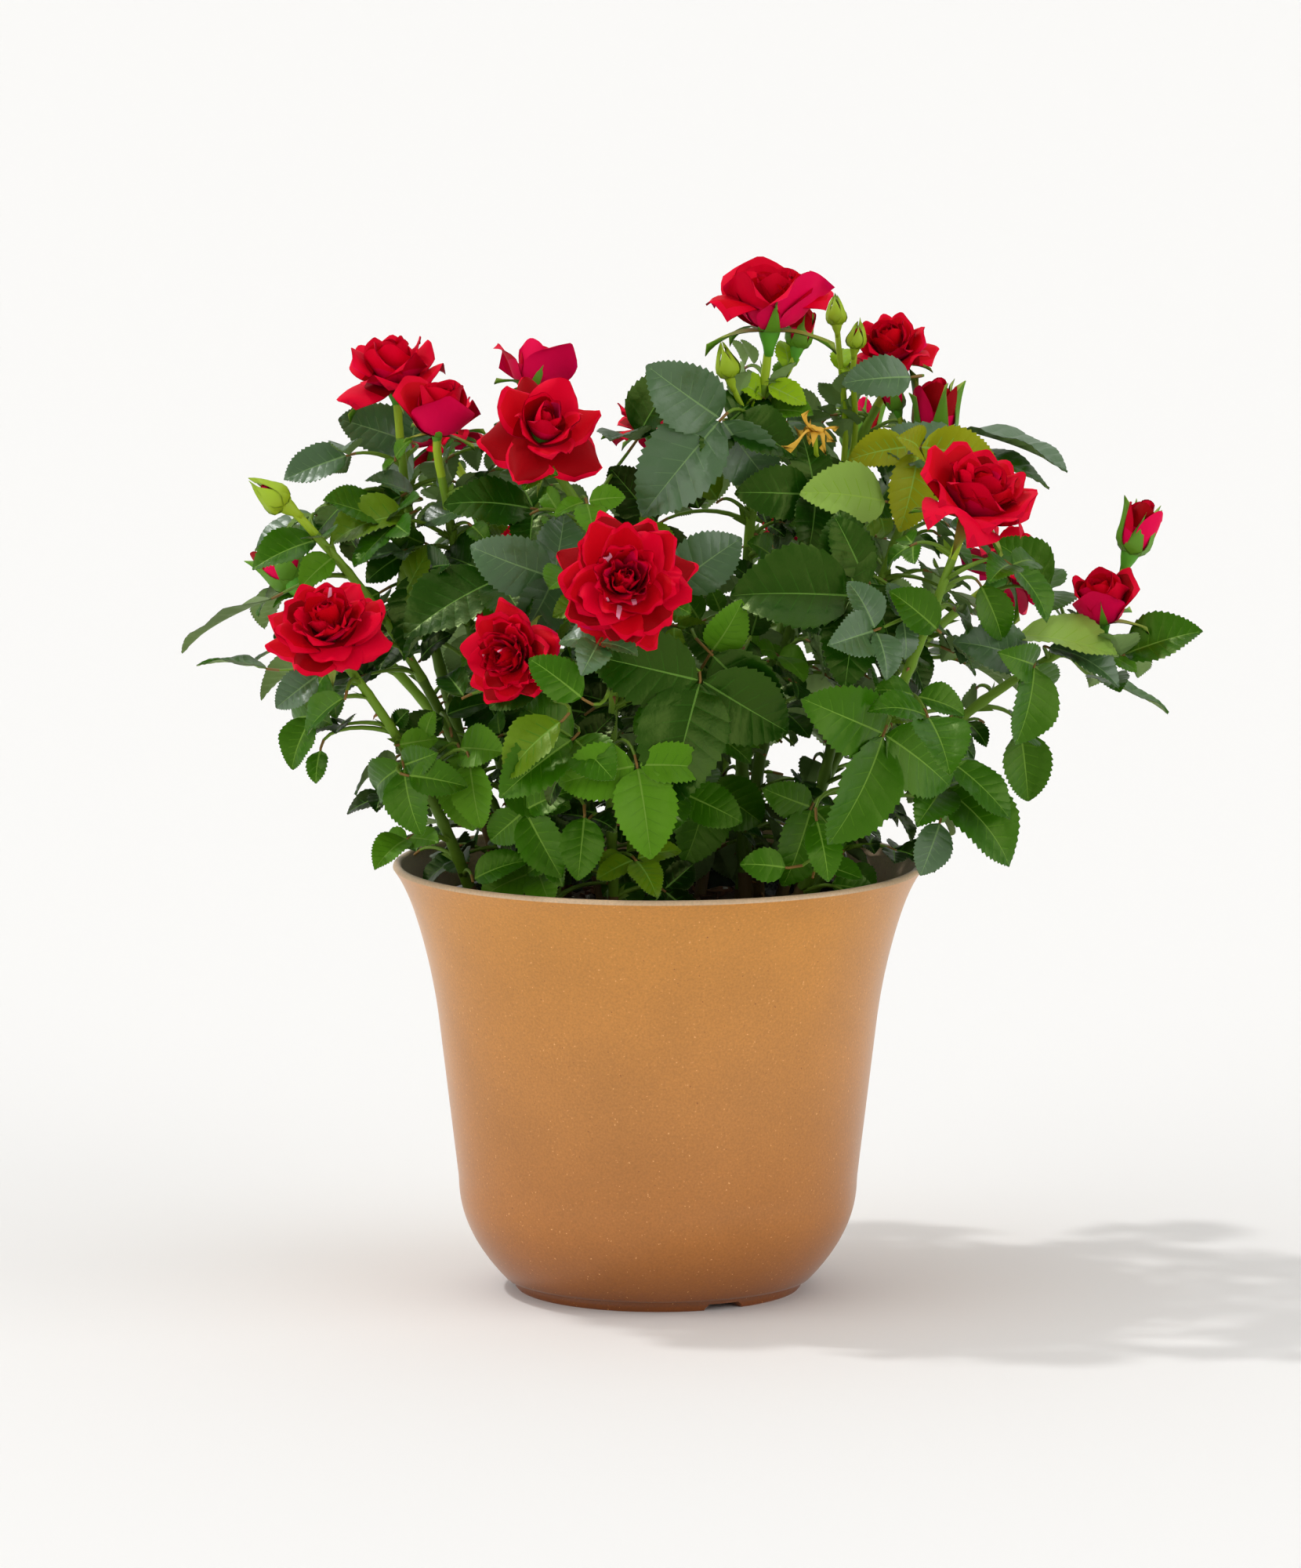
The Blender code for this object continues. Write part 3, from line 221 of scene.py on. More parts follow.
# The leaves that the photograph shows, by cane: where the leaflets meet, the end leaflet's tip
# and its age, then the number of leaflets (1), how far they turn from level to upright (0.8)
# and how far the blades turn about their midribs to face the front (TO_FRONT).
TABLE_LEAVES = {
    "left_low": (
        ((-73, -44, 160), (-68, -52, 141), "mid", 5, 0.9),
        ((-99, -42, 174), (-106, -47, 160), "mid", 5, 0.9),
        ((-112, -30, 186), (-133, -24, 189), "mid", 1, 0.1, 0.1),
        ((-57, -38, 164), (-54, -44, 141), "fresh", 3),
        ((-72, -50, 158), (-55, -56, 156), "mid"),
        ((-54, -46, 162), (-52, -52, 143), "fresh", 1, 0.9),
        ((-97, -42, 186), (-110, -46, 178), "dusty"),
        ((-97, -36, 164), (-98, -40, 154), "mid"),
        ((-67, -38, 167), (-65, -42, 175), "fresh"),
        ((-75, -38, 165), (-64, -42, 168), "fresh"),
        ((-76, -34, 170), (-72, -38, 175), "dark"),
    ),
    "left_reaching": (
        ((-111, -15, 205), (-139, -10, 190), "olive", 1, 0.2, 0.1),
        ((-98, -16, 222), (-117, -22, 214), "mid", 5, 0.6),
        ((-93, -22, 218), (-103, -26, 209), "fresh"),
    ),
    "left_tall": (
        ((-90, 8, 244), (-109, 4, 238), "dusty", 5, 0.6),
        ((-72, 24, 246), (-94, 22, 252), "dusty", 5, 0.7),
        ((-66, -14, 213), (-74, -24, 190), "dark", 3, 0.6),
        ((-78, -8, 226), (-97, -16, 233), "mid", 3, 0.6),
        ((-89, -6, 233), (-102, -8, 222), "dark"),
        ((-72, -12, 229), (-95, -14, 220), "olive", 1, 0.4, 0.4),
        ((-74, 2, 233), (-90, 0, 224), "dark"),
        ((-70, -2, 233), (-84, -4, 240), "dusty", 1, 0.6, 0.6),
        ((-73, -6, 217), (-85, -8, 209), "dark"),
        ((-67, -2, 219), (-79, -4, 226), "mid"),
        ((-84, 2, 213), (-93, 0, 223), "deep"),
        ((-80, -8, 206), (-90, -10, 200), "mid"),
    ),
    "left_front": (
        ((-36, -26, 232), (-61, -34, 235), "dark", 5, 0.7),
        ((-46, -30, 212), (-73, -40, 197), "dark", 3, 0.7),
        ((-50, -12, 232), (-71, -14, 229), "dusty", 1, 0.6, 0.4),
        ((-75, -14, 202), (-65, -16, 221), "olive", 1, 0.8, 1.0),
    ),
    "middle_low": (
        ((-24, -68, 171), (-45, -78, 157), "mid", 5, 0.6),
        ((-38, -52, 148), (-28, -60, 130), "mid", 3),
        ((-45, -46, 154), (-26, -54, 150), "mid"),
        ((-21, -60, 148), (-23, -66, 130), "mid", 1, 0.9),
        ((-27, -74, 177), (-45, -78, 163), "olive", 1, 0.5, 0.5),
    ),
    "middle_front": (
        ((-6, -74, 164), (-2, -80, 138), "fresh", 5, 0.9),
        ((12, -64, 187), (3, -76, 153), "dark", 5),
        ((4, -42, 211), (23, -46, 226), "dusty"),
        ((-21, -82, 184), (-36, -84, 196), "mid", 1, 0.9),
    ),
    "middle_tall": (
        ((-30, -42, 214), (-52, -50, 224), "dusty", 3, 0.7),
        ((-6, 4, 249), (8, 0, 270), "dark", 3),
    ),
    "right_tallest": (
        ((18, -28, 258), (-4, -40, 232), "dusty", 5),
        ((20, -20, 256), (40, -26, 247), "dark", 3),
        ((22, -44, 190), (10, -50, 172), "dark", 5),
        ((14, -24, 152), (7, -34, 129), "mid", 3, 0.9),
        ((15, -55, 194), (24, -60, 209), "fresh"),
        ((15, -58, 194), (36, -64, 176), "dark"),
        ((31, -8, 266), (43, -12, 262), "lime", 1, 0.7),
        ((31, -8, 262), (21, -12, 268), "lime", 1, 0.7),
        ((30, -6, 258), (45, -10, 257), "fresh", 1, 0.7),
    ),
    "right_inner": (
        ((66, -26, 234), (41, -34, 238), "pale", 1, 0.9),
        ((45, -26, 236), (23, -34, 238), "dark", 5),
        ((74, -4, 268), (53, -8, 266), "dusty", 1, 0.8, 0.6),
        ((94, -8, 242), (62, -16, 249), "dusty", 1, 0.8, 0.2),
    ),
    "right_back": (
        ((75, -18, 248), (71, -28, 226), "young", 3),
        ((88, 0, 252), (120, -10, 248), "dusty", 1, 0.8, 0.6),
        ((75, -17, 249), (98, -18, 246), "young"),
        ((73, -17, 249), (55, -20, 246), "young"),
        ((85, -8, 246), (114, -14, 242), "mid", 1, 0.3, 0.5),
    ),
    "right_front": (
        ((56, -54, 210), (21, -60, 212), "dark", 5),
        ((64, -66, 172), (50, -78, 142), "mid", 5, 0.9),
        ((44, -38, 147), (38, -48, 126), "mid", 3, 0.9),
        ((59, -50, 214), (52, -54, 233), "dark"),
        ((60, -52, 214), (69, -56, 193), "dark"),
        ((45, -60, 147), (49, -66, 130), "mid", 1, 0.9),
        ((37, -62, 133), (24, -66, 135), "mid"),
        ((84, -30, 172), (74, -34, 164), "dark"),
        ((80, -54, 200), (66, -58, 212), "mid"),
        ((92, -40, 212), (101, -42, 196), "mid"),
    ),
    "right_reaching": (
        ((82, -40, 153), (103, -48, 134), "mid", 5, 0.6),
        ((108, -36, 188), (104, -44, 166), "mid", 3, 0.9),
        ((134, -22, 189), (156, -28, 198), "mid", 5, 0.6),
        ((128, -4, 180), (151, 2, 174), "mid", 5, 0.1, 0.2),
        ((112, -26, 192), (133, -34, 184), "dusty", 1, 0.6),
        ((114, -4, 206), (100, -10, 222), "mid", 3),
        ((105, -10, 166), (109, -12, 145), "mid", 3, 0.5),
        ((107, -32, 189), (85, -38, 195), "dusty"),
        ((81, -44, 144), (76, -50, 129), "dusty"),
        ((103, -30, 196), (132, -36, 189), "pale", 1, 0.0, 0.0),
    ),
}

# Where the photograph shows sky through the leaves: the place on the upright plane through
# the pot's middle, as the camera sees it, and the radius of the gap.
SKY_GAPS = (
    (-76, 172, 9), (-86, 159, 7), (-55, 163, 4), (-43, 141, 4), (-55, 141, 5), (-71, 139, 3),
    (-57, 216, 5), (-28, 244, 4), (15, 221, 8), (18, 252, 4), (17, 167, 3), (40, 155, 5),
    (73, 143, 3), (73, 201, 3), (88, 178, 4), (97, 165, 5), (121, 170, 9),
)
VIEW_SLOPE = 0.139

# The canes round the back, alternately low and far reaching and tall and near. Each flower is
# a pitch, a width and an opening.
BACK_ARC = (30.0, 152.0)
BACK_FOOT_RADIUS = 46.0
BACK_FOOT_SPREAD = (0.8, 1.05)
BACK_REACH = (118.0, 92.0)
BACK_HEIGHTS = (196.0, 234.0)
BACK_SPREAD = 5.0
BACK_BEND_SHARE = 0.62
BACK_RADIUS = 1.9
BACK_ENTERS = 0.34
BACK_FLOWER_TURN = 30.0
BACK_FLOWERS = (
    (40, 34, 0.85), (70, 12, 0.1), (35, 36, 0.7), (75, 24, 0.45),
    (30, 35, 0.9), (60, 30, 0.6), (40, 14, 0.15),
)

# How a bloom may differ from the plain one: its guards are the outermost petals, which stand
# apart and turn back, from a heading on. The size is a share of its width in the table.
PLAIN_STYLE = dict(
    size=1.0, tall=1.0, lift=0.0, flat=2.4, clasp=False, count=None, lean=None, curl=None,
    guards=3, guard_lean=92.0, guard_curl=None, guard_from=None, point=0.16, pinch=0.3,
    roll=0.26, ruffle=0.03, jumble=7.0, streaks=0.0, tips=0.0, heart=("bright", "red", "rose"),
)
STYLES = dict(
    left_low=dict(
        count=38, guards=4, ruffle=0.05, jumble=13.0, streaks=0.25, point=0.2, pinch=0.45,
        guard_lean=84.0,
    ),
    left_tall=dict(count=22, guards=2, point=0.3, pinch=0.45, lean=68.0, guard_lean=84.0),
    left_front=dict(
        size=0.8, tall=1.5, flat=1.15, clasp=True, count=16, guards=2, lean=13.0, curl=16.0,
        point=0.1, guard_lean=15.0, pinch=0.2, roll=0.1, jumble=4.0,
    ),
    left_inner=dict(
        size=0.86, tall=1.15, flat=1.15, clasp=True, count=18, guards=2, lean=16.0, curl=16.0,
        guard_lean=22.0, roll=0.12, jumble=5.0,
    ),
    middle_low=dict(count=36, ruffle=0.05, jumble=12.0, streaks=0.15, point=0.24, pinch=0.45),
    middle_front=dict(
        count=42, guards=5, ruffle=0.065, jumble=15.0, streaks=0.42, tips=0.2, point=0.32,
        pinch=0.45, heart=("rose", "rose", "bright"),
    ),
    middle_tall=dict(
        count=17, guards=5, point=0.42, pinch=0.6, roll=0.36, guard_lean=76.0,
        heart=("rose", "rose", "claw"),
    ),
    right_tallest=dict(
        size=0.9, tall=0.95, flat=1.6, clasp=True, count=24, lean=32.0, curl=-10.0, guards=2,
        guard_from=8.0, guard_lean=62.0, guard_curl=50.0, point=0.14, pinch=0.25, ruffle=0.05,
    ),
    right_inner=dict(count=24, guards=2, point=0.2, lean=60.0, guard_lean=84.0),
    right_front=dict(
        size=0.93, lift=14.0, flat=1.5, count=28, guards=0, point=0.3, pinch=0.4, roll=0.34,
        lean=50.0, curl=46.0, jumble=9.0,
    ),
    right_reaching=dict(
        tall=1.15, lift=14.0, flat=1.15, clasp=True, count=18, guards=2, lean=14.0, curl=14.0,
        point=0.12, guard_lean=16.0, roll=0.12, jumble=5.0,
    ),
)


# ---- Finishes ----

BLACK = (0.0, 0.0, 0.0, 1.0)
WHITE = (1.0, 1.0, 1.0, 1.0)
# The pot's outside colours by share of its height: the darkening towards the foot is painted shade, not
# the plastic's own colour.
OUTSIDE_COLOURS_WITH_PAINTED_SHADE = (
    (0.0, (130, 68, 20)),
    (0.06, (156, 92, 34)),
    (0.2, (183, 116, 50)),
    (0.5, (197, 131, 60)),
    (0.92, (208, 141, 58)),
)
# Leaf colours by age, with the veins and the underside that they share: the colour, the
# roughness and the strength of the shine. The greyish blue-green ones, with their veins, carry a
# painted reflection of the bright sky on upturned leaves.
LEAF_LOOKS = {
    # The near-black deep green is partly an old leaf's colour and partly painted shade for leaves inside
    # the crown.
    "deep": ((8, 34, 2), 0.28, 0.5),
    "dark": ((18, 58, 2), 0.3, 0.52),
    "mid": ((42, 90, 2), 0.34, 0.5),
    "olive": ((82, 112, 8), 0.36, 0.45),
    "fresh": ((74, 122, 18), 0.38, 0.35),
    "young": ((138, 144, 14), 0.4, 0.35),
    "lime": ((138, 176, 26), 0.45, 0.2),
    "pale": ((134, 166, 72), 0.45, 0.3),
    # Painted reflection: a green greyed by the sky that upturned glossy leaves reflect.
    "dusty": ((64, 97, 52), 0.32, 0.65),
    "dark_rib": ((92, 132, 52), 0.45, 0.3),
    "dark_vein": ((34, 78, 14), 0.36, 0.4),
    "mid_rib": ((104, 142, 50), 0.45, 0.3),
    "mid_vein": ((64, 110, 16), 0.4, 0.4),
    "dusty_rib": ((112, 144, 88), 0.45, 0.3),
    "dusty_vein": ((84, 116, 68), 0.36, 0.5),
    "pale_rib": ((142, 176, 70), 0.5, 0.25),
    "pale_vein": ((126, 162, 52), 0.42, 0.3),
    "under": ((124, 152, 90), 0.6, 0.2),
}
# Petal faces from deep to bright, backs, pale claws, white streaks and dark tips. The deep red also serves
# as painted shade at each petal's foot, and the bright red as a painted highlight along its margin.
PETAL_LOOKS = {
    "red": (202, 0, 22),
    "deep": (146, 0, 8),
    "bright": (220, 0, 42),
    "rose": (222, 4, 72),
    "back": (198, 0, 38),
    "claw": (206, 26, 86),
    "streak": (242, 168, 196),
    "tip": (132, 0, 20),
}
STEM_LOOKS = {
    "green": (84, 116, 22),
    "fresh": (110, 146, 34),
    "lime": (150, 178, 34),
    "woody": (96, 76, 42),
    "stalk": (100, 132, 34),
    "joint": (122, 92, 40),
    "sepal": (92, 140, 30),
    "hip": (82, 150, 34),
    "pale_sepal": (150, 172, 70),
    "thorn": (150, 104, 60),
    "dry": (216, 168, 54),
}


def shown(red, green, blue):
    """A colour as a display shows it, 0 to 255, turned into the linear colour a shader takes."""
    parts = [value / 255 for value in (red, green, blue)]
    return (*[s / 12.92 if s < 0.04 else ((s + 0.055) / 1.055) ** 2.4 for s in parts], 1.0)


def feed(socket, value):
    """Put a constant or a link on a node's input."""
    if isinstance(value, bpy.types.NodeSocket):
        socket.id_data.links.new(value, socket)
    else:
        socket.default_value = value


def tune(node, **values):
    """Feed a node's inputs by name, where an underscore stands for a space."""
    for name, value in values.items():
        feed(node.inputs[name.replace("_", " ")], value)
    return node


def added(tree, kind, output, **values):
    """The named output of a new shader node with these values on its inputs."""
    return tune(tree.nodes.new(f"ShaderNode{kind}"), **values).outputs[output]


def principled(name, colour, roughness, **values):
    """A new material with its node tree and its Principled shader."""
    material = bpy.data.materials.new(name)
    material.use_nodes = True
    shader = material.node_tree.nodes["Principled BSDF"]
    tune(shader, Base_Color=shown(*colour), Roughness=roughness, **values)
    return material, material.node_tree, shader


def noise(tree, scale, detail=3.0):
    """Noise in the object's own metres, as a value from 0 to 1."""
    place = added(tree, "TexCoord", "Object")
    return added(tree, "TexNoise", "Fac", Vector=place, Scale=scale, Detail=detail)


def ramp(tree, value, *stops):
    """A colour ramp over a value, from pairs of position and colour."""
    node = tune(tree.nodes.new("ShaderNodeValToRGB"), Fac=value)
    elements = node.color_ramp.elements
    while len(elements) < len(stops):
        elements.new(0.5)
    for element, (position, colour) in zip(elements, stops):
        element.position = position
        element.color = colour
    return node.outputs["Color"]


def overlay(tree, under, over, share, mode="MIX"):
    """Lay one colour over another by a share from 0 to 1, each a socket or a plain value."""
    node = tree.nodes.new("ShaderNodeMix")
    node.data_type = "RGBA"
    node.blend_type = mode
    for number, value in ((0, share), (6, under), (7, over)):
        feed(node.inputs[number], value)
    return node.outputs[2]


def tissue(name, colour, roughness, grain, depth, **values):
    """Leaf, petal or green bark: one plain colour with a fine grain in its relief."""
    material, tree, shader = principled(name, colour, roughness, **values)
    add_relief(tree, shader, noise(tree, grain), depth)
    return material


def add_relief(tree, shader, height, depth):
    """Bump from a height value, with its depth in metres."""
    tune(shader, Normal=added(tree, "Bump", "Normal", Height=height, Distance=depth))


def leaf_looks():
    """Leaf finishes by age, waxy but for the greyish ones, whose colour carries a painted sky reflection.
    """
    waxy = shown(215, 245, 130)
    return {
        age: tissue(
            f"leaf_{age}", colour, roughness, 260.0, 0.25 * MM,
            Specular_IOR_Level=shine, Specular_Tint=WHITE if "dusty" in age else waxy,
        )
        for age, (colour, roughness, shine) in LEAF_LOOKS.items()
    }


def petal_looks():
    """Petal finishes, velvety, where a little light soaks in and comes out again."""
    return {
        name: tissue(
            f"petal_{name}", colour, 0.6, 700.0, 0.04 * MM, Specular_IOR_Level=0.06,
            Subsurface_Weight=0.06, Subsurface_Radius=(1.0, 0.35, 0.35), Subsurface_Scale=2.0 * MM,
            Sheen_Weight=0.14, Sheen_Roughness=0.4, Sheen_Tint=shown(255, 40, 110),
        )
        for name, colour in PETAL_LOOKS.items()
    }


def stem_looks():
    """Green and woody bark, stalks, sepals, hips, thorns and the reddish leaf joints."""
    return {
        name: tissue(f"stem_{name}", colour, 0.5, 500.0, 0.1 * MM, Specular_IOR_Level=0.25)
        for name, colour in STEM_LOOKS.items()
    }


def pot_plastic(name, stops, roughness):
    """Moulded plastic with fibre flecks, in colours that change with height up the pot; the darkening low
    down is painted shade.
    """
    material, tree, shader = principled(
        name, stops[-1][1], roughness, Sheen_Weight=0.16, Sheen_Roughness=0.3
    )
    height = added(tree, "SeparateXYZ", "Z", Vector=added(tree, "TexCoord", "Object"))
    share = added(tree, "MapRange", "Result", Value=height, From_Max=POT_HEIGHT)
    colour = ramp(tree, share, *[(position, shown(*rgb)) for position, rgb in stops])
    for scale, detail, grey in ((45.0, 6.0, 243), (1500.0, 3.0, 230)):
        cloud = ramp(tree, noise(tree, scale, detail), (0.3, shown(grey, grey, grey)), (0.7, WHITE))
        colour = overlay(tree, colour, cloud, 1.0, "MULTIPLY")
    for scale, start, fleck in ((1500.0, 0.735, (226, 172, 110)), (1150.0, 0.75, (146, 88, 40))):
        specks = ramp(tree, noise(tree, scale, 1.0), (start, BLACK), (start + 0.05, WHITE))
        colour = overlay(tree, colour, shown(*fleck), specks)
    tune(shader, Base_Color=colour)
    add_relief(tree, shader, noise(tree, 900.0, 4.0), 0.02 * MM)
    return material


def black_plastic(name):
    """The thin liner's black plastic, scuffed along its rim."""
    material, tree, shader = principled(name, (22, 22, 24), 0.35)
    scuffs = ramp(tree, noise(tree, 400.0, 6.0), (0.3, shown(70, 70, 70)), (0.7, shown(130, 130, 130)))
    tune(shader, Roughness=scuffs)
    add_relief(tree, shader, noise(tree, 1200.0), 0.02 * MM)
    return material


def earth(name, dark, light, scale):
    """Damp peat or bark, mottled from dark to light."""
    material, tree, shader = principled(name, dark, 0.9)
    mottle = ramp(tree, noise(tree, scale, 6.0), (0.35, shown(*dark)), (0.68, shown(*light)))
    tune(shader, Base_Color=mottle)
    add_relief(tree, shader, noise(tree, 2.0 * scale, 6.0), 0.5 * MM)
    return material


# ---- Meshes ----


class Piece:
    """Shapes gathered for one joined mesh, with a finish for each face."""

    def __init__(self, name, looks):
        self.name = name
        self.looks = looks
        self.points = []
        self.faces = []
        self.finishes = []
        self.count = 0

    def add(self, points, faces, finish):
        """Add a shape. The finish is a name, or a list with a name for each face."""
        self.points.append(np.asarray(points, dtype=float).reshape(-1, 3))
        self.faces += [tuple([corner + self.count for corner in face]) for face in faces]
        self.finishes += [finish] * len(faces) if isinstance(finish, str) else finish
        self.count += len(self.points[-1])

    def build(self, slot, nodes=(), sharp=None):
        """Make the mesh object, which rides on the one body and may stand for CAD nodes."""
        mesh = bpy.data.meshes.new(self.name)
        mesh.from_pydata(np.concatenate(self.points).tolist(), [], self.faces)
        numbers = {name: number for number, name in enumerate(self.looks)}
        for material in self.looks.values():
            mesh.materials.append(material)
        mesh.polygons.foreach_set("material_index", [numbers[name] for name in self.finishes])
        mesh.shade_smooth()
        if sharp:
            mesh.set_sharp_from_angle(angle=math.radians(sharp))
        thing = placed(self.name, mesh)
        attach(thing, "root")
        if nodes:
            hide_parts(*nodes)


def placed(name, data):
    """A new object in the scene, with a mesh, a light or a camera."""
    thing = bpy.data.objects.new(name, data)
    bpy.context.scene.collection.objects.link(thing)
    return thing


def mix(a, b, share):
    return a + (b - a) * share


def shares(steps):
    """Even steps from 0 to 1."""
    return [step / steps for step in range(steps + 1)]


def smooth(share):
    """An even rise from 0 to 1 that starts and ends gently."""
    share = np.clip(share, 0.0, 1.0)
    return share * share * (3.0 - 2.0 * share)


def millimetres(place):
    """A place from the tables, in metres."""
    return Vector(place) * MM


def facing(heading, pitch):
    """The unit vector with this heading and pitch in degrees."""
    turn = math.radians(heading)
    rise = math.radians(pitch)
    flat = math.cos(rise)
    return Vector((math.cos(turn) * flat, math.sin(turn) * flat, math.sin(rise)))


def turned(direction, axis, degrees):
    """A direction turned about an axis."""
    angle = math.radians(degrees)
    sideways = axis.cross(direction)
    return (direction * math.cos(angle) + sideways * math.sin(angle)).normalized()


def square_to(direction, axis):
    """The unit vector nearest to a direction that is square to an axis."""
    return (direction - axis * direction.dot(axis)).normalized()


def frame_round(direction):
    """Two unit vectors that make a right-handed frame with a direction."""
    side = direction.cross(UP)
    if side.length < 0.05:
        side = direction.cross(Vector((1.0, 0.0, 0.0)))
    side.normalize()
    return side, direction.cross(side).normalized()


def spoke(side, over, angle):
    """The direction at an angle in radians from one side towards the other."""
    return side * math.cos(angle) + over * math.sin(angle)


def curve_point(start, leaving, end, arrival, t):
    """A point on the smooth curve that leaves along one direction and arrives along another."""
    reach = (end - start).length / 3.0
    first = start + leaving * reach
    second = end - arrival * reach
    s = 1.0 - t
    return start * s**3 + first * 3 * s * s * t + second * 3 * s * t * t + end * t**3


def curve(start, leaving, end, arrival, steps):
    """Points at even steps along such a curve."""
    return [curve_point(start, leaving, end, arrival, t) for t in shares(steps)]


def ring_faces(rings, sides):
    """The quads between rings of so many points each."""
    return [
        (low + here, low + (here + 1) % sides, low + sides + (here + 1) % sides, low + sides + here)
        for low in range(0, (rings - 1) * sides, sides)
        for here in range(sides)
    ]


def tube(path, radii, sides):
    """Points and faces of a round limb along a path, with flat ends."""
    points = []
    side = None
    for index, middle in enumerate(path):
        before = path[max(index - 1, 0)]
        after = path[min(index + 1, len(path) - 1)]
        along = (after - before).normalized()
        side = square_to(frame_round(along)[0] if side is None else side, along)
        over = along.cross(side)
        for corner in range(sides):
            angle = 2.0 * math.pi * corner / sides
            points.append(middle + spoke(side, over, angle) * radii[index])
    last = (len(path) - 1) * sides
    ends = [tuple(reversed(range(sides))), tuple(range(last, last + sides))]
    return points, ring_faces(len(path), sides) + ends


def lathe(profile, segments):
    """Turn rows of radius and height about Z, as points and faces."""
    turns = np.arange(segments) * 2.0 * math.pi / segments
    rings = [np.stack([r * np.cos(turns), r * np.sin(turns), np.full(segments, z)], 1) for r, z in profile]
    return np.concatenate(rings), ring_faces(len(profile), segments)


def lower_skin(faces, count):
    """The same faces turned over, on the next so many points, with the same diagonals."""
    return [tuple(corner + count for corner in (face[0], *face[:0:-1])) for face in faces]


# ---- The plant's frame: canes, and leaves by the source's rule ----


class Cane:
    """One cane: the curve from its foot through its bend to its tip, its flower and its shoots."""

    def __init__(self, name, foot, bend, tip, radius, enters, flower):
        self.name = name
        self.foot = Vector((foot[0] * MM, foot[1] * MM, MIX_HEIGHT + CLEARANCE))
        self.bend = millimetres(bend)
        self.tip = millimetres(tip)
        self.radius = radius * MM
        self.enters = enters
        self.flower = flower
        self.style = {**PLAIN_STYLE, **STYLES.get(name, {})}
        self.shoots = [row[1:] for row in BUD_SHOOTS if row[0] == name]
        lower = (self.bend - self.foot).length
        self.length = lower + (self.tip - self.bend).length
        self.middle = lower / self.length

    def point(self, share):
        """The point on the parabola through foot, bend and tip."""
        m = self.middle
        near_foot = (share - m) * (share - 1.0) / m
        near_bend = share * (share - 1.0) / (m * (m - 1.0))
        near_tip = share * (share - m) / (1.0 - m)
        return self.foot * near_foot + self.bend * near_bend + self.tip * near_tip

    def direction(self, share):
        step = 0.01
        return (self.point(share + step) - self.point(share - step)).normalized()

    def thickness(self, share):
        return mix(self.radius, CANE_TIP_RADIUS, share)

    def nearest_share(self, place, lowest):
        """The share of the part above lowest that comes nearest to a place."""
        places = [mix(lowest, 1.0, t) for t in shares(40)]
        return min(places, key=lambda share: (self.point(share) - place).length)


def back_canes():
    """Canes on an arc round the back, with flowers of every age."""
    canes = []
    for index, (pitch, width, opening) in enumerate(BACK_FLOWERS):
        draw = random.Random(f"back cane {index}")
        heading = mix(*BACK_ARC, index / (len(BACK_FLOWERS) - 1))
        reach = BACK_REACH[index % 2] + draw.uniform(-BACK_SPREAD, BACK_SPREAD)
        height = BACK_HEIGHTS[index % 2] + draw.uniform(-BACK_SPREAD, BACK_SPREAD)
        outward = facing(heading, 0)
        foot = outward * BACK_FOOT_RADIUS * draw.uniform(*BACK_FOOT_SPREAD)
        bend = outward * reach * BACK_BEND_SHARE
        bend.z = mix(MIX_HEIGHT / MM, height, BACK_BEND_SHARE)
        tip = outward * reach + UP * height
        turn = draw.uniform(-BACK_FLOWER_TURN, BACK_FLOWER_TURN)
        flower = (heading + turn, pitch, width, opening)
        canes.append(Cane(f"back_{index + 1}", foot, bend, tip, BACK_RADIUS, BACK_ENTERS, flower))
    return canes


class Leaf:
    """A compound leaf: a stalk with a knee and a joint, an end leaflet and up to two pairs.

    Each leaflet is a row of where its root sits on the stalk, its direction, the direction
    that its upper face looks, and its length.
    """

    def __init__(self, start, leaving, joint, tip, count, upright, draw, age):
        arrival = (tip - joint).normalized()
        size = (tip - joint).length
        knee = curve_point(start, leaving, joint, arrival, STALK_KNEE)
        outward = Vector((joint.x, joint.y, 0.0)).normalized()
        normal = square_to(outward * upright + UP * (1.05 - upright), arrival)
        depth = (joint.y - FRONT_TO_BACK[0]) / (FRONT_TO_BACK[1] - FRONT_TO_BACK[0])
        self.age = age
        self.facing = Vector((0.0, -mix(*FACE_FRONT, smooth(depth)), 0.0))
        self.path = [start, knee, joint]
        self.headings = [leaving, (joint - start).normalized(), arrival]
        self.normal = normal
        root = joint + arrival * ROOT_REACH
        self.leaflets = [(root, arrival, normal, size - ROOT_REACH)]
        pairs = (count - 1) // 2
        if (knee - joint).length < SECOND_PAIR_ROOM * size:
            pairs = min(pairs, 1)
        for pair, side in product(range(pairs), (-1, 1)):
            heading = self.headings[2 - pair]
            angle = PAIR_ANGLES[pair] + draw.uniform(-PAIR_ANGLE_SPREAD, PAIR_ANGLE_SPREAD)
            along = turned(heading, normal, side * angle)
            blade = square_to(turned(normal, arrival, -side * draw.uniform(*PAIR_TILTS)), along)
            length = size * PAIR_SIZES[pair] * draw.uniform(*PAIR_SIZE_SPREAD)
            left = normal.cross(heading).normalized()
            seat = self.path[2 - pair] + left * side * STALK_RADIUS
            self.leaflets.append((seat, along, blade, length))

    def stalk(self, grow=0.0):
        """The plain stalk, for testing what it touches."""
        path = self.path + [self.path[-1] + self.headings[-1] * ROOT_REACH]
        return tube(path, [STALK_RADIUS + grow] * len(path), 3)


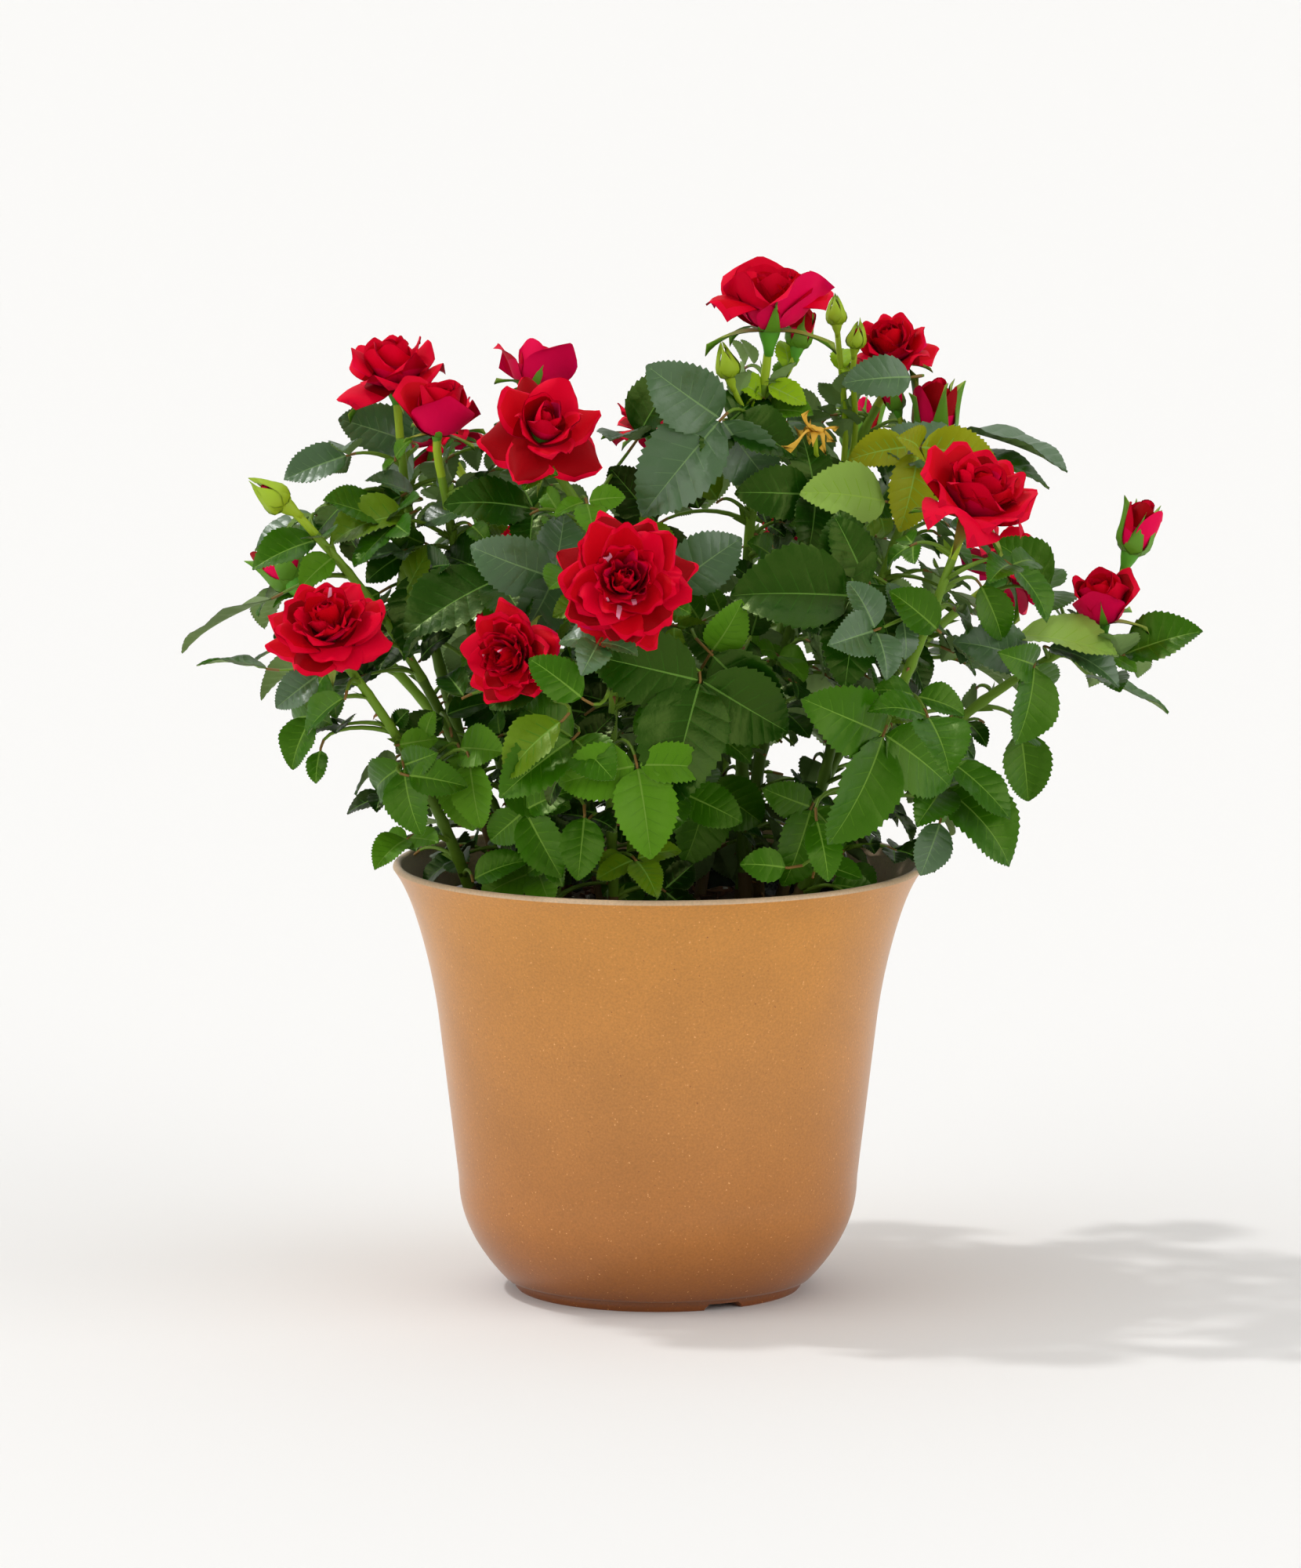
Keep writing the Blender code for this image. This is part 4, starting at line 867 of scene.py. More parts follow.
def plain_blade(leaflet, grow=0.0):
    """A leaflet's plain folded blade, for testing what it touches."""
    base, along, normal, length = leaflet
    left = normal.cross(along).normalized() * (length * LEAFLET_WIDTH_SHARE / 2 + grow)
    widest = base + along * length * LEAFLET_WIDEST
    middle = widest - normal * length * LEAFLET_FOLD
    lift = normal * (LEAFLET_THICKNESS / 2 + grow)
    tip = base + along * (length + grow)
    points = [base, widest - left, tip, widest + left, middle + lift, middle - lift]
    faces = [(i, (i + 1) % 4, 4) for i in range(4)]
    faces += [((i + 1) % 4, i, 5) for i in range(4)]
    return points, faces


def table_leaf(cane, joint, tip, age, count=1, upright=0.8, to_front=TO_FRONT):
    """A leaf from the table. Its stalk leaves the stem a little below its nearest point."""
    joint = millimetres(joint)
    tip = millimetres(tip)
    draw = random.Random(f"leaf {cane.name} {joint.x:.3f} {joint.z:.3f}")
    lowest = cane.enters + TABLE_LEAF_START
    nearest = cane.nearest_share(joint, lowest)
    drop = TABLE_LEAF_DROP * (cane.point(nearest) - joint).length / cane.length
    share = max(lowest, nearest - drop)
    start = cane.point(share)
    leaving = (cane.direction(share) + (joint - start).normalized()).normalized()
    leaf = Leaf(start, leaving, joint, tip, count, upright, draw, age)
    leaf.facing = Vector((0.0, -to_front, 0.2 * to_front))
    return leaf


def leaf_age(cane, share):
    """The finish of a leaf by its place: dark low down and inside, from age and partly as painted shade,
    fresh near the flowers, and greyish with a painted sky reflection on some high ones.
    """
    draw = random.Random(f"age {cane.name} {share:.3f}")
    if share < 0.7:
        return draw.choice(("deep", "deep", "dark", "dark", "dark", "mid", "mid", "mid", "olive", "fresh"))
    return draw.choice(("dark", "mid", "mid", "dusty", "dusty", "olive", "fresh"))


def leaves_up_cane(cane, kind, lowest, highest, number, sizes):
    """Leaves of a kind up a cane, each a fixed turn round from the one below it."""
    leaves = []
    first = random.Random(f"first {kind} {cane.name}").uniform(0, 360)
    for index in range(number):
        draw = random.Random(f"{kind} {cane.name} {index}")
        share = mix(lowest, highest, (index + 0.5) / number)
        heading = first + LEAF_TURN * index + draw.uniform(-LEAF_TURN_SPREAD, LEAF_TURN_SPREAD)
        start = cane.point(share)
        outward = Vector((start.x, start.y, 0.0)).normalized()
        away = (facing(heading, 0) + outward * LEAF_LEAN_OUT).normalized()
        leaving = (away + cane.direction(share) * LEAF_LEAN_UP).normalized()
        size = draw.uniform(*sizes) * MM * (1.0 - LEAF_SHRINK * share)
        arm = (away + UP * draw.uniform(*LEAF_RISE)).normalized()
        joint = start + arm * size * LEAF_ARM
        tip = joint + (away - UP * draw.uniform(*LEAF_DROOP)).normalized() * size
        upright = draw.uniform(*LEAF_UPRIGHT)
        count = 5 - 2 * (index % 2)
        leaves.append(Leaf(start, leaving, joint, tip, count, upright, draw, leaf_age(cane, share)))
    return leaves


def leaves_by_rule(cane):
    """The source's leaves, up the part of a cane that is in its spray."""
    lowest = cane.enters + LEAF_SHARES[0]
    highest = LEAF_SHARES[1]
    number = max(2, round(cane.length * (highest - cane.enters) / LEAF_SPACING))
    return leaves_up_cane(cane, "leaf", lowest, highest, number, LEAF_SIZES)


def finer_leaves(cane):
    """Small leaves by the same rule, set between the others and down the bare cane."""
    lowest, highest = FINE_SHARES
    number = round(cane.length * (highest - lowest) / FINE_SPACING)
    return leaves_up_cane(cane, "fine leaf", lowest, highest, number, FINE_SIZES)


def search_tree(shape):
    points, faces = shape
    return BVHTree.FromPolygons([tuple(p) for p in points], faces)


def clear_of(shape, trees):
    """True when a shape crosses none of the trees."""
    probe = search_tree(shape)
    return not any(probe.overlap(tree) for tree in trees)


def in_sky_gap(leaflet):
    """True when the camera sees a leaflet's foot, middle or tip in a gap that shows sky."""
    base, along, _, length = leaflet
    for share in (0.0, 0.5, 1.0):
        place = (base + along * length * share) / MM
        height = place.z + VIEW_SLOPE * place.y
        if any(math.hypot(place.x - x, height - z) < radius for x, z, radius in SKY_GAPS):
            return True
    return False


def grow_leaves(canes):
    """Leaves for every cane, without any leaf or leaflet that would touch something."""
    stems = {cane.name: search_tree(plain_stem(cane)) for cane in canes}
    bodies = [search_tree(shape) for cane in canes for shape in plain_flowers(cane)]
    bodies += [search_tree(lathe(profile, 32)) for profile in (pot_profile(), mix_profile())]
    grown = {cane.name: [] for cane in canes}
    trees = list(bodies)

    def keep(name, leaf, leaflets):
        leaf.leaflets = leaflets
        grown[name].append(leaf)
        trees.append(search_tree(leaf.stalk()))
        trees.extend(search_tree(plain_blade(leaflet)) for leaflet in leaflets)

    for cane in canes:
        for row in TABLE_LEAVES.get(cane.name, ()):
            leaf = table_leaf(cane, *row)
            keep(cane.name, leaf, [item for item in leaf.leaflets if clear_of(plain_blade(item), bodies)])
    for rule, cane in product((leaves_by_rule, finer_leaves), canes):
        others = [tree for other, tree in stems.items() if other != cane.name]
        for leaf in rule(cane):
            if not clear_of(leaf.stalk(CLEARANCE), trees + others):
                continue
            kept = []
            own = [stems[cane.name]]
            for leaflet in leaf.leaflets:
                probe = plain_blade(leaflet, CLEARANCE)
                if not in_sky_gap(leaflet) and clear_of(probe, trees + others + own):
                    kept.append(leaflet)
                    own.append(search_tree(probe))
            if kept:
                keep(cane.name, leaf, kept)
    return grown


def plain_flowers(cane):
    """Plain bodies for the flowers of a cane, for testing what touches them."""
    rows = [(cane.tip, cane.flower)]
    rows += [(millimetres(place), flower) for _, place, flower in cane.shoots]
    shapes = []
    for foot, (heading, pitch, width, opening) in rows:
        rise = (mix(*BLOOM_RISE, opening) + BLOOM_HIP if opening > OPEN_FROM else BUD_HEIGHT) * width * MM
        path = [foot + facing(heading, pitch) * rise * share for share in (0.0, 0.25, 0.6, 1.0)]
        shapes.append(tube(path, [width * MM * share for share in (0.08, 0.3, 0.46, 0.2)], 8))
    return shapes


def plain_stem(cane):
    """A plain cane, for testing what touches it."""
    return tube([cane.point(t) for t in shares(12)], [cane.thickness(t) for t in shares(12)], 5)


# ---- Leaves, toothed and veined ----


def leaf_outline(u):
    """The half width at a share of the length, from round at the foot to pointed, at most 1."""
    widest = LEAF_BASE_POWER / (LEAF_BASE_POWER + LEAF_TIP_POWER)
    peak = widest**LEAF_BASE_POWER * (1.0 - widest) ** LEAF_TIP_POWER
    u = np.clip(u, 0.0, 1.0)
    return u**LEAF_BASE_POWER * (1.0 - u) ** LEAF_TIP_POWER / peak


class LeafGrid:
    """The rows, faces and parts of a leaflet with so many side veins on each half.

    Each row has its share of the length, the side of a vein that it marks (-1, 1 or 0 for
    none) and its swell, from -1 in a vein's groove to 1 between two veins.
    """

    def __init__(self, veins):
        rows = [(0.0, 0.0, 0.0)]
        for vein in range(veins):
            share = (vein + 0.45) / veins
            rows += [(share, -1.0, -1.0), (share, 1.0, -1.0), ((vein + 1) / veins, 0.0, 1.0)]
        rows[-1] = (1.0, 0.0, 0.0)
        self.rows = np.array(rows)
        self.blades = [row for row in range(len(rows) - 1) if rows[row][1] >= 0.0]
        columns = len(LEAF_COLUMNS)
        first_tooth = len(rows) * columns
        upper = []
        self.parts = []
        for row, column in product(range(len(rows) - 1), range(columns - 1)):
            low = row * columns + column
            upper.append((low, low + 1, low + columns + 1, low + columns))
            vein = row not in self.blades and 0 < column < columns - 2
            self.parts.append("rib" if column == 2 else "vein" if vein else "blade")
        for tooth, row in enumerate(self.blades, first_tooth):
            low = row * columns
            upper.append((low, low + columns, tooth))
            upper.append((low + columns - 1, tooth + len(self.blades), low + 2 * columns - 1))
        self.parts += ["blade"] * (2 * len(self.blades)) + ["under"] * len(upper)
        self.faces = upper + lower_skin(upper, first_tooth + 2 * len(self.blades))


LEAF_GRIDS = {veins: LeafGrid(veins) for veins in LEAFLET_VEINS}


def leaflet_points(leaflet, grid, draw):
    """The points of a leaflet's upper skin and teeth, then those of its lower skin."""
    base, along, normal, length = leaflet
    rows, vein_side, swell = grid.rows.T[:, :, None]
    across = np.array(LEAF_COLUMNS)[None, :]
    slant = VEIN_SLANT * np.sin(np.pi * rows)
    u = rows + slant * np.abs(across) + vein_side * VEIN_WIDTH / 2 / length * (1.15 - across**2)
    half = draw.uniform(*LEAF_WIDTH_SHARES) * length / 2
    width = half * leaf_outline(rows + slant) + LEAFLET_FOOT * (1.0 - rows)
    rib = np.minimum(RIB_WIDTH / 2 * (1.1 - rows), 0.3 * width) * np.sign(across)
    x = np.where(np.abs(across) < 0.1, rib, across * width)
    bow = draw.uniform(*LEAFLET_BOW)
    fold = draw.uniform(*LEAFLET_FOLDS)
    curl = draw.uniform(*LEAFLET_CURL)
    wave = np.sin(2.0 * np.pi * (draw.uniform(*LEAFLET_WAVES) * u + draw.random()) + across)
    quilt = QUILT_SHARE * swell * np.select([np.abs(across) < 0.1, np.abs(across) < 0.9], [0.0, 1.0], 0.2)
    z = fold * np.abs(x) + length * (4.0 * bow * u * (1.0 - u) - curl * u**4)
    z = z + length * (quilt + WAVE_SHARE * wave * across**2)
    skin = np.stack([x, u * length, z], 2)
    teeth = []
    for column, side in ((0, -1.0), (-1, 1.0)):
        edge = skin[:, column]
        low = np.array(grid.blades)
        tooth = mix(edge[low], edge[low + 1], TOOTH_PLACE)
        reach = max(TOOTH_SHARE * length, LEAST_TOOTH)
        tooth[:, 0] += side * reach * (0.35 + leaf_outline(rows[low, 0] + 0.03))
        teeth.append(tooth)
    teeth = np.concatenate(teeth)
    lift = np.where(np.abs(across) < 1.0, LEAF_THICKNESS / 2, LEAF_EDGE) * np.ones_like(u)
    turn = np.array([along.cross(normal), along, normal])
    skins = []
    for sign in (1.0, -1.0):
        sheet = skin.copy()
        sheet[:, :, 2] += sign * lift
        flat = np.concatenate([sheet.reshape(-1, 3), teeth + (0.0, 0.0, sign * LEAF_EDGE)])
        skins.append(flat @ turn + np.array(base))
    return np.concatenate(skins)


def add_leaflet(leaves, leaflet, age, draw):
    """One leaflet, tilted a little about its midrib and nodding at its tip."""
    base, along, normal, length = leaflet
    along = turned(along, along.cross(normal), draw.uniform(*LEAFLET_NOD))
    normal = turned(square_to(normal, along), along, draw.uniform(*LEAFLET_TILT))
    grid = LEAF_GRIDS[LEAFLET_VEINS[length > LARGE_LEAFLET]]
    vein = VEINS.get(age, "pale")
    looks = {"blade": age, "rib": f"{vein}_rib", "vein": f"{vein}_vein", "under": "under"}
    points = leaflet_points((base, along, normal, length), grid, draw)
    leaves.add(points, grid.faces, [looks[part] for part in grid.parts])


def add_leaf(leaves, twigs, leaf, draw):
    """A compound leaf: its toothed leaflets, its thin stalk and its stipules."""
    for number, (base, along, normal, length) in enumerate(leaf.leaflets):
        shrink = draw.uniform(*PAIR_SHRINK) if number else 1.0
        age = "dark" if number and leaf.age == "pale" else leaf.age
        normal = square_to(normal + leaf.facing, along)
        add_leaflet(leaves, (base, along, normal, length * shrink), age, draw)
    start, _, joint = leaf.path
    leaving, _, arrival = leaf.headings
    path = curve(start, leaving, joint, arrival, STALK_STEPS) + [joint + arrival * ROOT_REACH]
    radii = [mix(*STALK_RADII, t) * MM for t in shares(STALK_STEPS)] + [0.4 * MM]
    points, faces = tube(path, radii, STALK_SIDES)
    green = STALK_SIDES * (STALK_STEPS - 1)
    twigs.add(points, faces, ["stalk"] * green + ["joint"] * (len(faces) - green))
    left = leaf.normal.cross(leaving).normalized()
    for side in (-1.0, 1.0):
        points = [start + leaving * out * MM + left * side * wide * MM for out, wide in STIPULE]
        twigs.add([start] + points, [(0, 3, 1, 2)], "stalk")


# ---- Blooms and buds ----


def petal_half_width(u):
    """A petal's half width: a narrow claw, then a broad blade with a square top."""
    low = np.minimum(1.0, u / PETAL_SHOULDER)
    high = np.clip((u - PETAL_SHOULDER) / (1.0 - PETAL_SHOULDER), 0.0, 1.0)
    return (0.30 + 0.70 * np.sin(np.pi / 2 * low)) * (1.0 - 0.20 * high**2)


def sepal_half_width(u):
    """A sepal's half width: broad at the foot and drawn out to a fine tip."""
    return (1.0 + 0.5 * u) * (1.0 - u) ** 1.15 + 0.04


class Sheet:
    """The grid of a petal or sepal, with its half width at each row."""

    def __init__(self, rows, columns, outline):
        self.u = np.linspace(0.0, 1.0, rows + 1)[:, None]
        self.v = np.linspace(-1.0, 1.0, columns + 1)[None, :]
        self.outline = outline(self.u)
        wide = columns + 1
        corners = [row * wide + column for row, column in product(range(rows), range(columns))]
        front = [(here, here + wide, here + wide + 1, here + 1) for here in corners]
        self.faces = front + lower_skin(front, (rows + 1) * wide)


PETAL = Sheet(PETAL_ROWS, PETAL_COLUMNS, petal_half_width)
SEPAL = Sheet(rows=8, columns=2, outline=sepal_half_width)
PLAIN_SHAPE = dict.fromkeys(("rise", "swirl", "roll", "crease", "point", "pinch", "ruffle", "phase"), 0.0)


def add_blade(piece, sheet, seat, size, angles, finish, **changes):
    """A petal or sepal of a length and width, which stands round the axis of its seat.

    The seat is a foot, an axis and a heading round it. The middle line starts at one angle from
    the axis and bends to its lean by two fifths of its length, then curls over. Offset and rise
    place its own foot, flat opens its hug of the axis, swirl lifts one edge over the next petal,
    roll turns the sides back, crease folds it along its middle, point draws out the tip, pinch
    narrows it, and ruffle and phase wave its margin.
    """
    foot, axis, heading = seat
    length, width = size
    start, lean, curl = angles
    shape = {**PLAIN_SHAPE, **changes}
    u = sheet.u
    v = sheet.v
    steps = 44
    t = np.linspace(0.0, 1.1, steps + 1)
    angle = np.radians(start + (lean - start) * smooth(t / 0.4) + curl * t**3)
    step = 1.1 * length / steps
    radius = shape["offset"] + np.concatenate([[0.0], np.cumsum(np.sin(angle[:-1]))]) * step
    height = shape["rise"] + np.concatenate([[0.0], np.cumsum(np.cos(angle[:-1]))]) * step
    reach = 1.0 - 0.14 * np.abs(v) ** 3 + shape["point"] * (1.0 - np.abs(v)) ** 2
    s = u * (1.0 + (reach - 1.0) * u)
    r = np.interp(s, t, radius)
    h = np.interp(s, t, height)
    a = np.interp(s, t, angle)
    half = width / 2 * sheet.outline * (1.0 - shape["pinch"] * np.clip(2.0 * u - 1.0, 0.0, 1.0) ** 1.6)
    arc = v * half
    hug = np.maximum(np.maximum(r, 0.4 * MM) * shape["flat"], half / 2.4)
    turn = arc / hug
    push = shape["roll"] * length * np.abs(v) ** 2.4 * u**2
    push = push + shape["crease"] * length * np.abs(v) * u
    push = push + shape["ruffle"] * length * np.sin(shape["phase"] + 5.0 * v + 3.0 * u) * u**2
    skins = []
    for depth in (0.0, PETAL_THICKNESS):
        out = hug + (push + depth) * np.cos(a)
        x = r - hug + out * np.cos(turn) + shape["swirl"] * arc
        z = h - (push + depth) * np.sin(a)
        skins.append(np.stack([x, out * np.sin(turn), z], 2).reshape(-1, 3))
    out = spoke(*frame_round(axis), math.radians(heading))
    points = np.concatenate(skins) @ np.array([out, axis.cross(out), axis]) + np.array(foot)
    piece.add(points, sheet.faces, finish)


def petal_finishes(face, back, style, age, draw):
    """A finish for each face of a petal: a pale claw, a foot painted deep red as shade, the blade and a
    margin painted brighter as a highlight.

    A streaked petal has white cells, and the tips of some outer petals are dark.
    """
    front = []
    behind = []
    streaked = age > 0.5 and draw.random() < style["streaks"]
    middle = draw.randrange(2, PETAL_COLUMNS - 2)
    broad = draw.choice((0, 0, 1)) if style["streaks"] > 0.4 else 0
    first, last = sorted((draw.randrange(3, PETAL_ROWS), draw.randrange(5, PETAL_ROWS + 1)))
    dark_tip = age < 0.3 and draw.random() < style["tips"]
    for row, column in product(range(PETAL_ROWS), range(PETAL_COLUMNS)):
        margin = row == PETAL_ROWS - 1 or column in (0, PETAL_COLUMNS - 1)
        # Painted shade on the rows near the foot, and a painted highlight along the margin.
        over = "claw" if row < 1 else "deep" if row < 4 else "bright" if margin else face
        under = "claw" if row < 1 else "rose" if row < 5 else back
        if streaked and abs(column - middle) <= broad and first <= row < last:
            over = under = "streak"
        if dark_tip and row == PETAL_ROWS - 1 and column == PETAL_COLUMNS // 2:
            over = under = "tip"
        front.append(over)
        behind.append(under)
    return front + behind


def add_petals(petals, foot, axis, width, opening, style, draw):
    """A bloom's petals in a spiral, from the outermost, which opens first, to the heart."""
    count = style["count"] or round(mix(17, 34, opening))
    widest = style["lean"] or mix(30.0, 88.0, min(1.0, opening / 0.75))
    inner = 0.86 * (width * mix(*BLOOM_RISE, opening))
    outer = 0.45 * width / max(0.62, math.sin(math.radians(widest)))
    curled = mix(55.0, 30.0, opening) if style["curl"] is None else style["curl"]
    looser = mix(3.2, 1.15, opening)
    jumble = style["jumble"]
    first = draw.uniform(0, 360)
    for index in range(count):
        age = index / (count - 1)
        guard = index < style["guards"]
        lean = mix(4.0, widest, (1.0 - age) ** looser) + draw.uniform(-jumble, jumble) * (0.4 + opening)
        if guard:
            lean = style["guard_lean"] + draw.uniform(-10, 10)
        length = mix(outer, inner, age**0.7) * draw.uniform(0.92, 1.06) * mix(1.0, 0.86, age)
        length *= style["tall"]
        breadth = length * mix(1.12, 0.78, age) * draw.uniform(0.9, 1.1)
        shape = dict(
            offset=width * mix(0.06, 0.012, age),
            rise=width * (0.01 + 0.03 * age),
            flat=mix(style["flat"], 1.05, age**0.5),
            swirl=mix(0.05, 0.16, age),
            roll=mix(style["roll"], -0.05, age**0.6),
            crease=draw.uniform(0.0, 0.14) * (1.0 - age),
            point=style["point"] * draw.uniform(0.4, 1.3) * (1.0 - age),
            pinch=style["pinch"] * draw.uniform(0.5, 1.3) * (1.0 - 0.6 * age),
            ruffle=style["ruffle"] * draw.uniform(0.4, 1.3),
            phase=draw.uniform(0, 6.28),
        )
        curl = mix(curled, -30.0, age**0.6)
        heading = first + GOLDEN_TURN * index + draw.uniform(-10, 10)
        if guard and style["guard_from"] is not None:
            heading = style["guard_from"] + 360.0 / style["guards"] * index
            length = 0.52 * width
            breadth *= 0.7
            curl = style["guard_curl"]
            shape["rise"] = 0.2 * width
        face = draw.choice(("red", "red", "deep", "bright") if age < 0.75 else style["heart"])
        back = draw.choice(("back", "back", "rose") if age < 0.3 else ("back", "red", "bright"))
        finish = petal_finishes(face, back, style, age, draw)
        angles = (mix(78.0, 28.0, age), lean, curl)
        add_blade(petals, PETAL, (foot, axis, heading), (length, breadth), angles, finish, **shape)


def add_bud_petals(petals, foot, axis, width, opening, draw):
    """A bud's petals, furled round each other to a point."""
    slim = mix(0.55, 1.0, min(1.0, opening / 0.1))
    height = width * (BUD_HEIGHT - opening) * 0.92 * slim
    first = draw.uniform(0, 360)
    for index in range(BUD_PETALS):
        age = index / (BUD_PETALS - 1)
        phase = draw.uniform(0, 6.28)
        lean = mix(4.0 + 36.0 * opening, -4.0, min(1.0, age * 1.6)) - 8.0 * (1.0 - slim)
        add_blade(
            petals, PETAL, (foot, axis, first + GOLDEN_TURN * index),
            (height * mix(0.92, 1.05, age), 0.9 * width * slim),
            (mix(52.0, 40.0, age) * slim, lean, mix(-14.0, -26.0, age)),
            petal_finishes("red", draw.choice(("rose", "back", "deep")), PLAIN_STYLE, age, draw),
            offset=width * slim * mix(0.16, 0.05, age), flat=1.02, swirl=0.10,
            roll=mix(0.04 + 0.3 * opening, 0.0, age), point=0.08, ruffle=0.01, phase=phase,
        )


def add_sepals(greens, foot, axis, width, opening, style, draw):
    """The sepals: tight round a bud, spread and then turned back as the bloom opens.

    The first one faces the front, and on some blooms it still clasps the petals.
    """
    if opening > OPEN_FROM:
        length = width * mix(0.85, 0.42, min(1.0, opening / 0.8))
        start, lean, curl = mix(60.0, 100.0, opening), mix(80.0, 140.0, opening), 20.0
        offset, breadth, spread = width * 0.09, width * 0.15, 12.0
    else:
        length = 1.5 * width
        start, lean, curl = 60.0, 110.0 * opening - 14.0, mix(-30.0, 34.0, opening / OPEN_FROM)
        offset, breadth = width * 0.19, width * mix(0.78, 0.4, opening / OPEN_FROM)
        spread = 3.0 + 50.0 * opening
    half = len(SEPAL.faces) // 2
    finish = ["pale_sepal"] * half + ["lime" if opening == 0.0 else "sepal"] * half
    side, over = frame_round(axis)
    first = math.degrees(math.atan2(-over.y, -side.y)) + draw.uniform(-12, 12)
    for index in range(SEPALS):
        phase = draw.uniform(0, 6.28)
        angles = (start, lean + draw.uniform(-1, 1) * spread, curl + draw.uniform(-1, 2) * spread)
        clasps = style["clasp"] and index == 0
        if clasps:
            angles = (80.0, style["lean"] + 6.0, 0.0)
        add_blade(
            greens, SEPAL, (foot, axis, first + 360 / SEPALS * index),
            (length * draw.uniform(0.75, 1.1), breadth), angles, finish,
            offset=0.1 * width if clasps else offset, flat=1.2, roll=-0.10, ruffle=0.02, phase=phase,
        )


def add_hip(greens, foot, axis, width, opening):
    """The swollen green hip under a flower, drawn down into its stalk."""
    size = min(0.105 * width, 3.9 * MM) if opening > OPEN_FROM else 0.24 * width
    path = [foot + axis * size * rise for rise, _ in HIP_SECTION]
    radii = [size * share for _, share in HIP_SECTION]
    greens.add(*tube(path, radii, 12), "lime" if opening == 0.0 else "hip")


def add_flower(petals, greens, foot, flower, style):
    """The bloom or bud of a row in the tables."""
    heading, pitch, width, opening = flower
    axis = facing(heading, pitch + style["lift"])
    width *= MM * style["size"]
    draw = random.Random(f"flower {foot.x:.3f} {foot.z:.3f}")
    top = foot + axis * width * BLOOM_HIP
    add_hip(greens, top, axis, width, opening)
    add_sepals(greens, top, axis, width, opening, style, draw)
    if opening > OPEN_FROM:
        add_petals(petals, top, axis, width, opening, style, draw)
    else:
        add_bud_petals(petals, top, axis, width, opening, draw)


def add_spent_flower(greens, cane):
    """A finished flower on a thin stalk: narrow dry petals that hang round a dry hip."""
    foot = millimetres(SPENT_PLACE)
    axis = facing(-80, 70)
    draw = random.Random("spent")
    path = curve(cane.point(SPENT_SHARE), cane.direction(SPENT_SHARE), foot, axis, 6)
    greens.add(*tube(path, [0.7 * MM] * len(path), 5), "lime")
    for index in range(SPENT_PETALS):
        hanging = index % 3 > 0
        size = (draw.uniform(5.0, 11.0 if hanging else 7.0) * MM, draw.uniform(1.4, 3.4) * MM)
        lean = draw.uniform(120, 170) if hanging else draw.uniform(0, 60)
        add_blade(
            greens, SEPAL, (foot, axis, GOLDEN_TURN * index), size, (60.0, lean, draw.uniform(-60, 60)),
            "dry", offset=0.5 * MM, flat=1.5, swirl=0.3, roll=0.2, point=0.3, ruffle=0.08,
        )


# ---- Canes, shoots and thorns ----


def neck(cane):
    """The path from the cane's last stretch into its flower, turned to the flower's axis."""
    heading, pitch, width, _ = cane.flower
    axis = facing(heading, pitch + cane.style["lift"])
    end = cane.tip + axis * width * MM * BLOOM_HIP * 0.7
    return curve(cane.point(CANE_END), cane.direction(CANE_END), end, axis, 4)[1:]


def add_cane(bark, cane):
    """A cane with swollen joints and thorns, brown near its foot and limy at its top."""
    draw = random.Random(f"bark {cane.name}")
    path = [cane.point(CANE_END * step / CANE_STEPS) for step in range(CANE_STEPS + 1)] + neck(cane)
    last = len(path) - 1
    swell = draw.randrange(5, 8)
    radii = []
    for step in range(len(path)):
        joint = JOINT_SWELL if step % swell == 0 and 0 < step < CANE_STEPS else 1.0
        radii.append(cane.thickness(step / last) * joint * draw.uniform(*CANE_UNEVENNESS))
    brown_to = MIX_HEIGHT + draw.choice(BROWN_HEIGHTS) * MM
    fresh_from = draw.uniform(*FRESH_FROM)
    finishes = []
    for step in range(last):
        low = path[step].z < brown_to
        fresh = "lime" if step / last > LIMY_FROM else "fresh" if step / last > fresh_from else "green"
        finishes += ["woody" if low else fresh] * CANE_SIDES
    bark.add(*tube(path, radii, CANE_SIDES), finishes + ["woody", "green"])
    for thorn in range(int(THORNS_UP_TO * cane.length / THORN_SPACING)):
        share = (thorn + draw.uniform(0.2, 1.0)) * THORN_SPACING / cane.length
        along = cane.direction(share)
        out = spoke(*frame_round(along), draw.uniform(0, 2.0 * math.pi))
        foot = cane.point(share) + out * cane.thickness(share) * 0.8
        length = draw.uniform(*THORN_LENGTH) * MM
        path = [foot + out * length * far - along * length * down for far, down in THORN_SHAPE]
        bark.add(*tube(path, [0.62 * MM, 0.32 * MM, 0.03 * MM], 5), "thorn")


def add_shoots(petals, greens, twigs, leaves, cane):
    """The side shoots of one cane, each with its bud and small young leaflets."""
    for share, place, flower in cane.shoots:
        foot = millimetres(place)
        axis = facing(*flower[:2])
        end = foot + axis * flower[2] * MM * 0.15
        path = curve(cane.point(share), cane.direction(share), end, axis, 8)
        twigs.add(*tube(path, [mix(1.0, 0.85, t) * MM for t in shares(8)], 7), "lime")
        add_flower(petals, greens, foot, flower, PLAIN_STYLE)
        draw = random.Random(f"bracts {place}")
        for seat in path[3:3 + BRACTS]:
            along = (facing(draw.uniform(0, 360), draw.uniform(10, 60)) + axis * 0.4).normalized()
            size = draw.uniform(*BRACT_SIZES) * MM
            age = draw.choice(("lime", "lime", "fresh"))
            add_leaflet(leaves, (seat, along, square_to(UP, along), size), age, draw)


# ---- Pot, liner and potting mix ----


